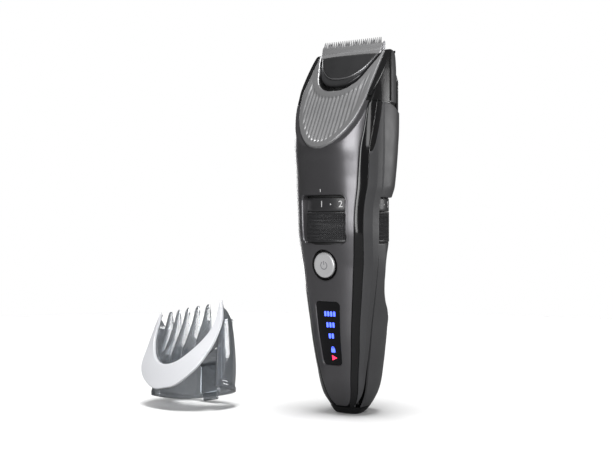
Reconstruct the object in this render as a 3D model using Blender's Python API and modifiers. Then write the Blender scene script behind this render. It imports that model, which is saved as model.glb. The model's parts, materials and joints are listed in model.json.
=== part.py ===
"""Cordless beard and hair clipper with its detached guide comb.

Units: metres in the file, millimetres in the constants below (MM converts).
Frame: origin on the flat standing face where the dial axis meets it, +Z up, the control panel
faces -Y. All clipper pieces hang from one empty on the dial axis; the comb pieces hang from an
empty at the tip of the middle comb tooth.
"""
import bpy
import bmesh
import math
from mathutils import Vector, Matrix

MM = 0.001

# ---------------------------------------------------------------- driving dimensions (mm)
DIAL_AXIS_Y = 0.0           # the frame's origin lies on the dial axis
HEIGHT_HEAD = 168.6         # top of the head, without the blades
SEAM_BASE = 3.2             # base cap to case joint
SEAM_HEAD = 122.0           # case to head joint
GAP = 0.3                   # clearance between neighbouring pieces
PANEL_T = 1.2               # front panel thickness
CASE_T = 1.3                # front case thickness behind the panel
DIAL_R = 19.5
DIAL_BORE = 16.5
DIAL_Z0, DIAL_Z1 = 79.8, 100.0
DIAL_TURN = 252.0           # degrees from shortest to longest setting
COMB_LIFT = 9.0             # mm the carrier rises over that turn
WIN_HALF = 12.35            # front dial window
WIN_Z0, WIN_Z1 = 79.2, 101.1
BUTTON_Z = 69.3
BUTTON_R = 5.8
BUTTON_TRAVEL = 0.8
LED_Z0, LED_Z1 = 23.1, 52.5
SLIDE_Z0, SLIDE_Z1 = 100.3, 143.6
SLIDE_FRONT = 3.4           # front edges of the slide, this far ahead of the dial axis
SLIDE_TRAVEL = 14.0
CELL_R, CELL_L, CELL_Z0, CELL_Y = 6.95, 42.0, 15.6, 1.0
BLADE_HALF = 17.3
BLADE_PITCH = 1.16
COMB_YAW = 39.0
COMB_LEAN = 17.0

# body stations: z, half width, front depth, rear depth, front exponent, rear exponent
STATIONS = [
    (0.0, 6.2, 2.6, 8.9, 2.2, 2.2), (1.5, 7.7, 3.5, 11.2, 2.3, 2.2), (3.0, 8.8, 4.2, 12.5, 2.4, 2.25),
    (6.0, 10.6, 5.6, 14.3, 2.5, 2.3), (10.0, 12.3, 7.3, 16.6, 2.6, 2.3), (15.0, 13.3, 9.2, 18.5, 2.6, 2.3),
    (20.0, 13.9, 10.6, 19.3, 2.6, 2.3), (25.0, 14.7, 11.8, 19.6, 2.6, 2.3), (30.0, 15.4, 12.8, 19.8, 2.6, 2.3),
    (36.0, 16.1, 14.0, 20.2, 2.6, 2.3), (43.0, 16.9, 14.9, 20.1, 2.6, 2.3), (48.0, 17.6, 15.4, 18.2, 2.6, 2.3),
    (53.0, 18.3, 15.9, 13.6, 2.6, 2.3), (58.0, 19.0, 16.4, 10.3, 2.6, 2.3), (63.0, 19.6, 16.9, 9.0, 2.6, 2.3),
    (68.0, 20.2, 17.4, 9.1, 2.6, 2.3), (73.0, 20.6, 18.1, 11.0, 2.7, 2.2), (79.0, 20.8, 19.0, 14.8, 2.85, 2.1),
    (85.0, 20.9, 19.7, 17.2, 3.0, 2.0), (90.0, 20.9, 20.0, 17.8, 3.0, 2.0), (95.0, 21.1, 20.1, 18.0, 3.0, 2.0),
    (100.0, 21.7, 20.2, 18.1, 2.9, 2.1), (105.0, 22.5, 20.5, 18.6, 2.7, 2.3), (110.0, 22.8, 20.9, 18.9, 2.6, 2.4),
    (116.0, 23.0, 21.5, 19.4, 2.6, 2.5), (123.0, 23.1, 22.3, 19.9, 2.6, 2.6), (130.0, 23.1, 21.8, 19.9, 2.6, 2.8),
    (138.0, 23.1, 21.3, 19.7, 2.6, 2.9), (144.0, 23.0, 21.0, 19.6, 2.6, 2.9),
]
# bare head above the thumb slide
HEAD = [(144.0, 22.3, 20.8, 17.6, 2.6, 2.9), (158.0, 22.3, 20.6, 17.5, 2.6, 2.9),
        (164.0, 22.1, 20.4, 17.2, 2.6, 2.9), (167.6, 21.7, 20.0, 16.7, 2.6, 2.9), (168.6, 21.0, 19.4, 16.0, 2.6, 2.9)]
# core under the thumb slide, and the inside of the slide itself (half width, rear depth)
CORE = [(100.0, 20.3, 16.7), (114.3, 20.3, 16.7), (119.0, 20.9, 17.0), (124.0, 21.2, 17.2),
        (130.0, 21.4, 17.7), (137.0, 21.6, 17.9), (144.0, 22.0, 17.6)]
SLIDE_IN = [(100.0, 20.65, 17.0), (105.0, 21.3, 17.35), (110.0, 21.6, 17.6), (116.0, 21.8, 18.1),
            (123.0, 22.1, 18.4), (129.0, 22.6, 18.5), (144.0, 22.6, 18.5)]
# how square the back of the core is, and the inside of the slide that runs over it
CORE_POWER = [(100.0, 2.3), (115.0, 2.3), (118.0, 2.4), (120.0, 2.46), (124.0, 2.6), (144.0, 2.6)]
SLIDE_POWER = [(100.0, 2.3), (101.0, 2.3), (104.0, 2.42), (106.0, 2.5), (110.0, 2.6), (116.0, 2.6), (123.0, 2.6), (130.0, 2.8), (138.0, 2.9),
               (144.0, 2.9)]
# angular edge of the front panel and of the gloss strip beside it
PANEL_EDGE = [(3.5, 24.0), (15.7, 31.3), (25.0, 35.5), (44.0, 38.3), (66.0, 39.2), (85.0, 42.0), (100.0, 44.4),
              (112.0, 46.9), (124.0, 51.4), (131.0, 55.3), (142.0, 60.0), (150.0, 63.0)]
STRIP_EDGE = [(3.2, 45.0), (15.8, 51.7), (30.0, 55.0), (62.0, 55.6), (80.0, 57.5), (98.5, 60.0), (107.0, 61.5),
              (121.7, 65.4)]
# slanted face that carries the collar: z, y on the centre line
SLANT = [(120.0, -25.2), (123.0, -23.4), (133.0, -18.3), (149.3, -10.5), (155.4, -6.5), (168.4, 2.4), (180.0, 10.4)]
SLANT_CROWN = 0.003
COLLAR_HALF = [(123.6, 3.5), (124.6, 6.2), (127.3, 8.9), (133.0, 14.0), (139.0, 17.0), (150.0, 19.2), (168.2, 18.9)]
SCOOP = [(149.4, 0.0), (149.8, 4.5), (151.2, 8.0), (154.0, 11.4), (160.0, 14.6), (168.6, 18.0), (176.0, 18.6)]
LIP = [(151.9, 0.0), (152.3, 4.0), (153.6, 7.6), (156.0, 10.9), (161.0, 13.9), (167.4, 16.9)]
COVER = [(155.6, 0.0), (156.0, 4.4), (157.2, 7.6), (160.6, 11.9), (164.0, 14.3), (167.2, 15.9)]

# ---------------------------------------------------------------- collections and materials
for old in list(bpy.data.objects):
    bpy.data.objects.remove(old, do_unlink=True)

PARTS = bpy.data.collections.new("hair_clipper")
GUIDES = bpy.data.collections.new("cutters")
bpy.context.scene.collection.children.link(PARTS)
bpy.context.scene.collection.children.link(GUIDES)


def empty(name, loc, parent=None):
    e = bpy.data.objects.new(name, None)
    e.empty_display_size = 0.01
    e.location = loc
    e.parent = parent
    PARTS.objects.link(e)
    return e


FRAME = empty("dial_axis", (0.0, DIAL_AXIS_Y * MM, 0.0))


def material(name, color, rough, metal=0.0, alpha=1.0):
    m = bpy.data.materials.new(name)
    m.use_nodes = True
    b = m.node_tree.nodes["Principled BSDF"]
    b.inputs["Base Color"].default_value = (color[0], color[1], color[2], 1.0)
    b.inputs["Roughness"].default_value = rough
    b.inputs["Metallic"].default_value = metal
    b.inputs["Alpha"].default_value = alpha
    return m


def finish(name, bm, color, rough, metal=0.0, alpha=1.0, parent=FRAME, loc=(0, 0, 0), smooth=30.0):
    bmesh.ops.recalc_face_normals(bm, faces=bm.faces)
    me = bpy.data.meshes.new(name)
    bm.to_mesh(me)
    bm.free()
    me.shade_smooth()
    me.set_sharp_from_angle(angle=math.radians(smooth))
    ob = bpy.data.objects.new(name, me)
    ob.location = loc
    ob.parent = parent
    me.materials.append(material(name, color, rough, metal, alpha))
    PARTS.objects.link(ob)
    return ob


def as_cutter(ob):
    PARTS.objects.unlink(ob)
    GUIDES.objects.link(ob)
    ob.hide_render = True
    ob.display_type = 'WIRE'
    return ob


def boolean(ob, other, op='DIFFERENCE'):
    m = ob.modifiers.new("cut_" + other.name, 'BOOLEAN')
    m.operation = op
    m.object = other
    m.solver = 'EXACT'
    return m


# ---------------------------------------------------------------- curves through stations
def smooth_at(table, z, col):
    """Monotone cubic through the stations, so that no bulge appears between them."""
    n = len(table)
    z = max(table[0][0], min(table[-1][0], z))
    d = [(table[i + 1][col] - table[i][col]) / (table[i + 1][0] - table[i][0]) for i in range(n - 1)]
    m = [d[0]] + [0.0 if d[i - 1] * d[i] <= 0 else 2 * d[i - 1] * d[i] / (d[i - 1] + d[i])
                  for i in range(1, n - 1)] + [d[-1]]
    i = max(k for k in range(n - 1) if table[k][0] <= z)
    h = table[i + 1][0] - table[i][0]
    t = (z - table[i][0]) / h
    return ((2 * t ** 3 - 3 * t * t + 1) * table[i][col] + (t ** 3 - 2 * t * t + t) * h * m[i]
            + (-2 * t ** 3 + 3 * t * t) * table[i + 1][col] + (t ** 3 - t * t) * h * m[i + 1])


def section(z):
    t = HEAD if z > 143.9 else STATIONS
    return [smooth_at(t, z, c) for c in range(1, 6)]


def squircle(w, f, r, nf, nr, phi):
    s, c = math.sin(math.radians(phi)), math.cos(math.radians(phi))
    n = nf if c > 0 else nr
    return (w * math.copysign(abs(s) ** (2.0 / n), s), (-f if c > 0 else r) * abs(c) ** (2.0 / n))


def surf(z, phi, off=0.0, sec=None):
    """Point of the body surface at angle phi from the front centre, moved inwards by off."""
    q = sec or section(z)
    x, y = squircle(*q, phi)
    if off:
        x0, y0 = squircle(*q, phi - 0.6)
        x1, y1 = squircle(*q, phi + 0.6)
        t = math.hypot(x1 - x0, y1 - y0)
        x, y = x - off * (y1 - y0) / t, y + off * (x1 - x0) / t
    return (x, y, z)


def arc(z, phi, mm):
    """Angle that spans mm along the surface at this place."""
    a, b = surf(z, phi - 0.5), surf(z, phi + 0.5)
    return mm / math.hypot(b[0] - a[0], b[1] - a[1])


def slant_y(x, z, deeper=0.0):
    return smooth_at(SLANT, z, 1) + SLANT_CROWN * x * x + deeper


def core_sec(z, table=CORE):
    q = section(z)
    return [smooth_at(table, z, 1), q[1] - 1.5, smooth_at(table, z, 2), 2.6, smooth_at(CORE_POWER, z, 1)]


# ---------------------------------------------------------------- mesh builders
def skin(rows_out, rows_in, closed=False):
    """Closed solid between two point grids of equal size, used for lofted shells."""
    bm = bmesh.new()
    nr, nc = len(rows_out), len(rows_out[0])
    o = [[bm.verts.new([c * MM for c in p]) for p in row] for row in rows_out]
    n = [[bm.verts.new([c * MM for c in p]) for p in row] for row in rows_in]

    def tri(a, b, c, d):
        bm.faces.new((a, b, c))
        bm.faces.new((a, c, d))
    cols = range(nc) if closed else range(nc - 1)
    for i in range(nr - 1):
        for j in cols:
            k = (j + 1) % nc
            tri(o[i][j], o[i][k], o[i + 1][k], o[i + 1][j])
            tri(n[i][j], n[i + 1][j], n[i + 1][k], n[i][k])
    for j in cols:
        k = (j + 1) % nc
        tri(o[0][k], o[0][j], n[0][j], n[0][k])
        tri(o[-1][j], o[-1][k], n[-1][k], n[-1][j])
    if not closed:
        for i in range(nr - 1):
            tri(o[i][0], o[i + 1][0], n[i + 1][0], n[i][0])
            tri(o[i + 1][-1], o[i][-1], n[i][-1], n[i + 1][-1])
    return bm


def loft(rows):
    """Closed solid through closed sections, capped at both ends."""
    bm = bmesh.new()
    v = [[bm.verts.new([c * MM for c in p]) for p in row] for row in rows]
    nc = len(rows[0])
    for i in range(len(rows) - 1):
        for j in range(nc):
            k = (j + 1) % nc
            bm.faces.new((v[i][j], v[i][k], v[i + 1][k]))
            bm.faces.new((v[i][j], v[i + 1][k], v[i + 1][j]))
    bm.faces.new(list(reversed(v[0])))
    bm.faces.new(v[-1])
    return bm


def box(lo, hi, bevel=0.0, seg=1):
    bm = bmesh.new()
    bmesh.ops.create_cube(bm, size=1.0)
    for v in bm.verts:
        v.co = Vector([(lo[i] + (v.co[i] + 0.5) * (hi[i] - lo[i])) * MM for i in range(3)])
    if bevel:
        bmesh.ops.bevel(bm, geom=bm.edges[:], offset=bevel * MM, segments=seg, affect='EDGES', profile=0.5)
    return bm


def rod(p0, p1, r, seg=16, r2=None):
    bm = bmesh.new()
    a, b = Vector(p0) * MM, Vector(p1) * MM
    d = b - a
    bmesh.ops.create_cone(bm, cap_ends=True, segments=seg, radius1=r * MM, radius2=(r if r2 is None else r2) * MM,
                          depth=d.length)
    rot = Vector((0, 0, 1)).rotation_difference(d.normalized()).to_matrix().to_4x4()
    bmesh.ops.transform(bm, matrix=Matrix.Translation((a + b) / 2) @ rot, verts=bm.verts)
    return bm


def join(bms):
    """Put loose shapes in one mesh (only used for shapes that a union then joins, or for groups)."""
    out = bmesh.new()
    for b in bms:
        me = bpy.data.meshes.new("tmp")
        b.to_mesh(me)
        b.free()
        out.from_mesh(me)
        bpy.data.meshes.remove(me)
    return out


def turned(name, profile, color, rough, metal=0.0, seg=32, parent=FRAME, loc=(0, 0, 0), rot=None, alpha=1.0):
    """Closed ring profile (radius, height), outer side listed top to bottom, spun by a Screw modifier."""
    me = bpy.data.meshes.new(name)
    pts = [(r * MM, 0.0, h * MM) for r, h in profile]
    on_axis = profile[0][0] == 0.0 and profile[-1][0] == 0.0
    n = len(pts)
    me.from_pydata(pts, [(i, i + 1) for i in range(n - 1)] + ([] if on_axis else [(n - 1, 0)]), [])
    ob = bpy.data.objects.new(name, me)
    ob.location = loc
    if rot:
        ob.rotation_euler = rot
    ob.parent = parent
    s = ob.modifiers.new("spin", 'SCREW')
    s.axis = 'Z'
    s.steps = seg
    s.render_steps = seg
    s.use_merge_vertices = True
    s.merge_threshold = 0.00001
    s.use_smooth_shade = True
    me.materials.append(material(name, color, rough, metal, alpha))
    PARTS.objects.link(ob)
    return ob


def plate(name, outline, y0, y1, color, rough, metal=0.0, plane='XZ', parent=FRAME, alpha=1.0):
    """Flat outline as a filled 2D curve, made a mesh so that it can be cut."""
    cu = bpy.data.curves.new(name, 'CURVE')
    cu.dimensions = '2D'
    cu.fill_mode = 'BOTH'
    cu.extrude = abs(y1 - y0) / 2 * MM
    sp = cu.splines.new('POLY')
    sp.points.add(len(outline) - 1)
    for p, (a, b) in zip(sp.points, outline):
        p.co = (a * MM, b * MM, 0, 1)
    sp.use_cyclic_u = True
    tmp = bpy.data.objects.new(name + "_outline", cu)
    PARTS.objects.link(tmp)
    bpy.context.view_layer.update()
    me = bpy.data.meshes.new_from_object(tmp.evaluated_get(bpy.context.evaluated_depsgraph_get()))
    bpy.data.objects.remove(tmp)
    bm = bmesh.new()
    bm.from_mesh(me)
    bpy.data.meshes.remove(me)
    bmesh.ops.remove_doubles(bm, verts=bm.verts, dist=0.000001)
    mid = (y0 + y1) / 2 * MM
    if plane == 'XZ':
        mat = Matrix(((1, 0, 0, 0), (0, 0, -1, mid), (0, 1, 0, 0), (0, 0, 0, 1)))
    elif plane == 'YZ':
        mat = Matrix(((0, 0, 1, mid), (1, 0, 0, 0), (0, 1, 0, 0), (0, 0, 0, 1)))
    else:
        mat = Matrix.Translation((0, 0, mid))
    bmesh.ops.transform(bm, matrix=mat, verts=bm.verts)
    return finish(name, bm, color, rough, metal, alpha, parent)


def coil(name, p0, p1, r, wire, turns, color, parent=FRAME):
    """Spring as a POLY curve with a bevel."""
    a, b = Vector(p0) * MM, Vector(p1) * MM
    d = (b - a)
    rot = Vector((0, 0, 1)).rotation_difference(d.normalized()).to_matrix()
    cu = bpy.data.curves.new(name, 'CURVE')
    cu.dimensions = '3D'
    cu.bevel_depth = wire * MM
    cu.bevel_resolution = 0
    cu.use_fill_caps = True
    n = int(turns * 8) + 1
    sp = cu.splines.new('POLY')
    sp.points.add(n - 1)
    for i in range(n):
        t = i / (n - 1)
        ang = 2 * math.pi * turns * t
        p = a + rot @ Vector((r * MM * math.cos(ang), r * MM * math.sin(ang), d.length * t))
        sp.points[i].co = (p.x, p.y, p.z, 1)
    ob = bpy.data.objects.new(name, cu)
    ob.parent = parent
    cu.materials.append(material(name, color, 0.3, 1.0))
    PARTS.objects.link(ob)
    return ob


def u_outline(table, grow=0.0, top=None):
    """Closed outline of a U-shaped opening from its half widths, bottom to top."""
    z0, z1 = table[0][0], (top if top is not None else table[-1][0])
    n = 12
    zs = [z0 + (z1 - z0) * (i / n) ** 2 for i in range(n + 1)]
    right = []
    for i, z in enumerate(zs):
        h = smooth_at(table, z, 1)
        if i == 0:
            continue
        right.append((h + grow, z))
    base = [(0.0, z0 - grow)]
    left = [(-x, z) for x, z in reversed(right)]
    return base + right + left


# ---------------------------------------------------------------- shared cutters
ZS_CASE = [3.2, 5, 8, 12, 17, 24, 33, 42, 47, 51, 55, 60, 67, 73, 78, 84, 97, 103, 109, 115, 121.8]

dial_bay = as_cutter(finish("dial_bay", rod((0, 0, DIAL_Z0 - 0.5), (0, 0, DIAL_Z1 + 1.2), DIAL_R + 0.35, 40),
                            (1, 0, 0), 0.5))
front_window = as_cutter(finish("front_window", box((-WIN_HALF, -40, WIN_Z0), (WIN_HALF, -8, WIN_Z1), 2.4, 2),
                                (1, 0, 0), 0.5))
case_window = as_cutter(finish("case_window", box((-12.9, -40, WIN_Z0 - 0.3), (12.9, -8, WIN_Z1 + 0.3)), (1, 0, 0), 0.5))
rear_window = as_cutter(finish("rear_window", box((-40, -1.2, DIAL_Z0 - 0.5), (40, 40, DIAL_Z1 + 1.2)), (1, 0, 0), 0.5))
button_hole = as_cutter(finish("button_hole", rod((0, -30, BUTTON_Z), (0, -8, BUTTON_Z), 6.9, 32), (1, 0, 0), 0.5))
button_bore = as_cutter(finish("button_bore", rod((0, -30, BUTTON_Z), (0, -8, BUTTON_Z), 6.2, 32), (1, 0, 0), 0.5))


def led_outline(grow):
    a, b, r = 5.4 + grow, 6.9 + grow, 1.6
    z0, z1 = LED_Z0 - grow, LED_Z1 + grow
    return [(-a + r, z0), (a - r, z0), (a, z0 + r), (b, z1 - r), (b - r, z1), (-b + r, z1), (-b, z1 - r), (-a, z0 + r)]


led_hole = as_cutter(plate("led_hole", led_outline(0.0), -30, -4, (1, 0, 0), 0.5))
led_bore = as_cutter(plate("led_bore", led_outline(-1.6), -30, -4, (1, 0, 0), 0.5))


def front_of_slant(name, deeper, half=30.0):
    """Everything in front of the slanted face."""
    xs = [-half + 2 * half * i / 10 for i in range(11)]
    zs = [120.5, 123, 128, 133, 141, 149.3, 155.4, 168.4, 178]
    back = [[(x, slant_y(x, z, deeper), z) for x in xs] for z in zs]
    front = [[(x, -50.0, z) for x in xs] for z in zs]
    return as_cutter(finish(name, skin(front, back), (1, 0, 0), 0.5))


slant_cut = front_of_slant("slant_cut", 1.6)

# ---------------------------------------------------------------- front panel
ZS_PANEL = [3.7, 5.5, 8, 12, 17, 24, 33, 42, 51, 60, 69, 78, 84, 97, 104, 110, 116, 121, 126, 131, 137, 143, 147.5]


def panel_cols(z, n=10):
    e = smooth_at(PANEL_EDGE, z, 1)
    return [-e + 2 * e * j / n for j in range(n + 1)]


bm = skin([[surf(z, p) for p in panel_cols(z)] for z in ZS_PANEL],
          [[surf(z, p, PANEL_T) for p in panel_cols(z)] for z in ZS_PANEL])
front_panel = finish("front_panel", bm, (0.10, 0.10, 0.105), 0.28, 0.55)
for c in (slant_cut, front_window, button_hole, led_hole):
    boolean(front_panel, c)


# ---------------------------------------------------------------- front case, with the gloss strip beside the panel
def case_cols(z):
    e = smooth_at(PANEL_EDGE, z, 1)
    s = smooth_at(STRIP_EDGE, z, 1)
    a, b = e + arc(z, e, 0.5), e + arc(z, e, 0.3)
    mid = [-b + 2 * b * j / 8 for j in range(9)]
    half = [a, (a + s) / 2, s]
    cols = [-p for p in reversed(half)] + mid + half
    offs = [0.0] * 3 + [PANEL_T + GAP] * 9 + [0.0] * 3
    return list(zip(cols, offs))


inner_off = PANEL_T + GAP + CASE_T
bm = skin([[surf(z, p, o) for p, o in case_cols(z)] for z in ZS_CASE],
          [[surf(z, p, inner_off) for p, o in case_cols(z)] for z in ZS_CASE])
front_case = finish("front_case", bm, (0.012, 0.012, 0.013), 0.12)
for c in (dial_bay, case_window, button_bore, led_bore):
    boolean(front_case, c)


# ---------------------------------------------------------------- rear case: grip, waist, side wings and the wall behind the slide
def rear_cols(z):
    s = smooth_at(STRIP_EDGE, z, 1)
    s += arc(z, s, GAP)
    half = [s, s + (82.4 - s) * 0.5, 82.4, 83.4, 95, 107, 120, 134, 148, 164]
    return half + [180.0] + [360.0 - p for p in reversed(half)]


def rear_out(z, p):
    if z > 100.1 and 83.0 < p < 277.0:
        return surf(z, p, 0.0, core_sec(z))
    return surf(z, p)


def rear_in(z, p):
    if z > 100.1 and 83.0 < p < 277.0:
        return surf(z, p, 1.2, core_sec(z))
    wall = 1.7 if z < 73 else (1.5 if z < 80 else 1.35)
    return surf(z, p, wall)


ZS_REAR = sorted(set(ZS_CASE) | {99.9, 100.2})
ZS_REAR = [z for z in ZS_REAR if z not in (97,)]
bm = skin([[rear_out(z, p) for p in rear_cols(z)] for z in ZS_REAR],
          [[rear_in(z, p) for p in rear_cols(z)] for z in ZS_REAR])
rear_case = finish("rear_case", bm, (0.055, 0.055, 0.058), 0.45)
for c in (dial_bay, rear_window):
    boolean(rear_case, c)

# ---------------------------------------------------------------- base cap with the charging inlet
cols24 = [15.0 * j for j in range(24)]
bm = loft([[surf(z, p) for p in cols24] for z in (0.0, 0.7, 1.6, 2.9)])
base_cap = finish("base_cap", bm, (0.012, 0.012, 0.013), 0.3)
inlet_cut = as_cutter(finish("inlet_cut", box((-4.8, 1.7, -3), (4.8, 7.3, 8), 1.2, 2), (1, 0, 0), 0.5))
boolean(base_cap, inlet_cut)

bm = box((-5.6, 1.0, 3.6), (5.6, 8.0, 9.4), 0.5)
socket = finish("charge_socket", bm, (0.02, 0.02, 0.02), 0.5)
socket_cut = as_cutter(finish("socket_cut", box((-4.4, 2.1, 0), (4.4, 6.9, 8.0), 1.0, 2), (1, 0, 0), 0.5))
boolean(socket, socket_cut)
pin_cut = as_cutter(finish("pin_cut", join([rod((-2.2, 4.5, 4), (-2.2, 4.5, 12), 0.85, 12),
                                            rod((2.2, 4.5, 4), (2.2, 4.5, 12), 0.85, 12)]), (1, 0, 0), 0.5))
boolean(socket, pin_cut)
for nm, sx in (("charge_pin_left", -1), ("charge_pin_right", 1)):
    finish(nm, rod((sx * 2.2, 4.5, 4.9), (sx * 2.2, 4.5, 11.4), 0.55, 12), (0.8, 0.7, 0.4), 0.25, 1.0)

# ---------------------------------------------------------------- length dial
dial_profile = [(DIAL_BORE, DIAL_Z1), (DIAL_R - 0.5, DIAL_Z1), (DIAL_R - 0.12, DIAL_Z1 - 0.4), (DIAL_R - 0.12, 94.3),
                (DIAL_R - 0.45, 94.0), (DIAL_R, 93.6), (DIAL_R, DIAL_Z0 + 0.5), (DIAL_R - 0.5, DIAL_Z0), (DIAL_BORE, DIAL_Z0)]
dial_ring = turned("dial_ring", dial_profile, (0.03, 0.03, 0.032), 0.4, seg=40)
# helical groove on the inside of the dial that the carrier's pin follows
g_rows = []
g_n = 28
for i in range(g_n + 1):
    a = -7.0 + (DIAL_TURN + 14.0) * i / g_n
    zc = 84.6 + COMB_LIFT * a / DIAL_TURN
    c, s = math.sin(math.radians(a)), -math.cos(math.radians(a))
    g_rows.append([(q * c, q * s, zc + h) for q, h in ((15.6, -1.25), (17.9, -1.25), (17.9, 1.25), (15.6, 1.25))])
groove = as_cutter(finish("dial_groove", loft(g_rows), (1, 0, 0), 0.5))
boolean(dial_ring, groove)
finish("dial_detent", join([box((-13.2, 6.0, 80.6), (-12.4, 9.0, 84.4))]), (0.7, 0.7, 0.7), 0.3, 1.0)

# carrier that lifts the comb: a pin in the groove, a front bar, a yoke and two side arms
arms = []
for sx in (-1, 1):
    arms.append(box((min(sx * 16.8, sx * 18.5), 1.9, 104.5), (max(sx * 16.8, sx * 18.5), 4.6, 147.0)))
yoke = [[], []]
for a in [-105 + 210 * j / 14 for j in range(15)]:
    s, c = math.sin(math.radians(a)), -math.cos(math.radians(a))
    yoke[0].append((s, c))
outer = [[(x * 18.4, y * 15.9, z) for x, y in yoke[0]] for z in (103.2, 106.4)]
inner = [[(x * 16.9, y * 14.2, z) for x, y in yoke[0]] for z in (103.2, 106.4)]
carrier = finish("comb_carrier", skin(outer, inner), (0.03, 0.03, 0.03), 0.5)
bar = as_cutter(finish("carrier_bar", box((-3.5, -15.7, 82.6), (3.5, -14.4, 105.0)), (1, 0, 0), 0.5))
pin = as_cutter(finish("carrier_pin", rod((0, -15.0, 84.6), (0, -17.5, 84.6), 0.95, 12), (1, 0, 0), 0.5))
boolean(carrier, bar, 'UNION')
boolean(carrier, pin, 'UNION')
for k, b in enumerate(arms):
    boolean(carrier, as_cutter(finish("carrier_arm_%d" % k, b, (1, 0, 0), 0.5)), 'UNION')


# ---------------------------------------------------------------- head housing
ZS_HEAD = [122.2, 124, 127, 130, 134, 139, 143.7, 144.0, 149, 154, 159, 164, 167.6, HEIGHT_HEAD]


def head_cols(z):
    e = smooth_at(PANEL_EDGE, min(z, 150.0), 1)
    a, b = e + arc(z, e, 0.55), e + arc(z, e, 0.3)
    a, b = min(a, 79.0), min(b, 78.4)
    half = [b * j / 5 for j in range(1, 6)] + [a, (a + 82.4) / 2, 82.4, 83.4, 97, 112, 128, 145, 162]
    return [0.0] + half + [180.0] + [360.0 - p for p in reversed(half)]


def head_out(z, p):
    e = smooth_at(PANEL_EDGE, min(z, 150.0), 1)
    q = min(p, 360.0 - p)
    if z < 143.9 and q > 83.0:
        x, y, _ = surf(z, p, 0.0, core_sec(z))
    elif z < 148.0 and q < e + arc(z, e, 0.45):
        x, y, _ = surf(z, p, PANEL_T + GAP)
    else:
        x, y, _ = surf(z, p)
    return (x, max(y, slant_y(x, z, 1.5)), z)


bm = loft([[head_out(z, p) for p in head_cols(z)] for z in ZS_HEAD])
head = finish("head_housing", bm, (0.02, 0.02, 0.02), 0.35)


def head_in(z, p):
    q = min(p, 360.0 - p)
    sec = core_sec(z) if z < 143.9 and q > 60 else section(z)
    x, y, _ = surf(z, p, 3.0 if q < 75 else 1.9, [min(sec[0], 22.0), sec[1], min(sec[2], 17.4), 2.6, 2.8])
    return (x, max(y, slant_y(x, z, 3.3)), z)


cav_zs = [120.0, 124, 128, 132, 138, 144, 150, 156, 161, 166.6]
cavity = as_cutter(finish("head_cavity", loft([[head_in(max(z, 122.2), p)[:2] + (z,) for p in [12.0 * j for j in range(30)]]
                                               for z in cav_zs]), (1, 0, 0), 0.5))
scoop_cut = as_cutter(plate("scoop_cut", u_outline(SCOOP, 0.0, 176.0), -40, 11.2, (1, 0, 0), 0.5))
slots = []
for sx in (-1, 1):
    slots.append(box((min(sx * 17.0, sx * 26.0), 2.9, 144.6), (max(sx * 17.0, sx * 26.0), 4.7, 166.0)))
slot_cut = as_cutter(finish("slot_cut", join(slots), (1, 0, 0), 0.5))
for c in (cavity, scoop_cut, slot_cut):
    boolean(head, c)

# ---------------------------------------------------------------- ribbed collar plate on the slanted face
ZS_COLLAR = [123.6, 124.6, 126, 128, 131, 135, 140, 146, 152, 158, 163, 168.2]


def collar_row(z, deeper):
    h = smooth_at(COLLAR_HALF, z, 1)
    return [(h * (-1 + 2 * j / 10), slant_y(h * (-1 + 2 * j / 10), z, deeper), z) for j in range(11)]


bm = skin([collar_row(z, 0.0) for z in ZS_COLLAR], [collar_row(z, 1.2) for z in ZS_COLLAR])
collar = finish("head_collar", bm, (0.42, 0.42, 0.43), 0.32, 0.6)
boolean(collar, scoop_cut)

# ---------------------------------------------------------------- blade block: base, lip, cover, blades
bm_profile = [(-6.4, 152.6), (3.0, 166.2), (9.9, 166.2), (9.9, 162.6), (5.4, 162.6), (2.2, 152.6)]
block = empty("blade_block_pivot", (0.0, -7.0 * MM, 152.4 * MM), FRAME)


def place(ob, parent, pivot):
    """Keep the piece where it is and put its origin on the pivot."""
    off = Vector(pivot) * MM
    ob.data.transform(Matrix.Translation(-off))
    ob.parent = parent
    return ob


base = plate("blade_base", u_outline(LIP, -0.5, 166.2), -12, 12, (0.02, 0.02, 0.02), 0.5)
profile = as_cutter(plate("blade_base_profile", bm_profile, -20, 20, (1, 0, 0), 0.5, plane='YZ'))
boolean(base, profile, 'INTERSECT')
PIV = (0.0, -7.0, 152.4)
place(base, block, PIV)
place(profile, block, PIV)


def slab(name, outline_table, grow, top, d0, d1, color, rough, metal=0.0, cut=None):
    """Plate that follows the slanted face, between two depths, with a U outline."""
    z0 = outline_table[0][0] - grow
    n = 9
    zs = [z0 + (top - z0) * (i / n) ** 1.8 for i in range(n + 1)]

    def row(z, d):
        h = max(1.5, smooth_at(outline_table, z, 1) + grow)
        return [(h * (-1 + 2 * j / 8), slant_y(h * (-1 + 2 * j / 8), z, d), z) for j in range(9)]
    return finish(name, skin([row(z, d0) for z in zs], [row(z, d1) for z in zs]), color, rough, metal)


cover = place(slab("blade_cover", COVER, 0.0, 166.8, -0.1, 1.1, (0.03, 0.03, 0.03), 0.5), block, PIV)
lip = slab("blade_lip", LIP, 0.0, 166.0, 0.3, 1.1, (0.05, 0.05, 0.05), 0.3)
cover_hole = as_cutter(slab("cover_hole", COVER, 0.75, 175.0, -6.0, 6.0, (1, 0, 0), 0.5))
boolean(lip, cover_hole)
place(lip, block, PIV)
place(cover_hole, block, PIV)


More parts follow.
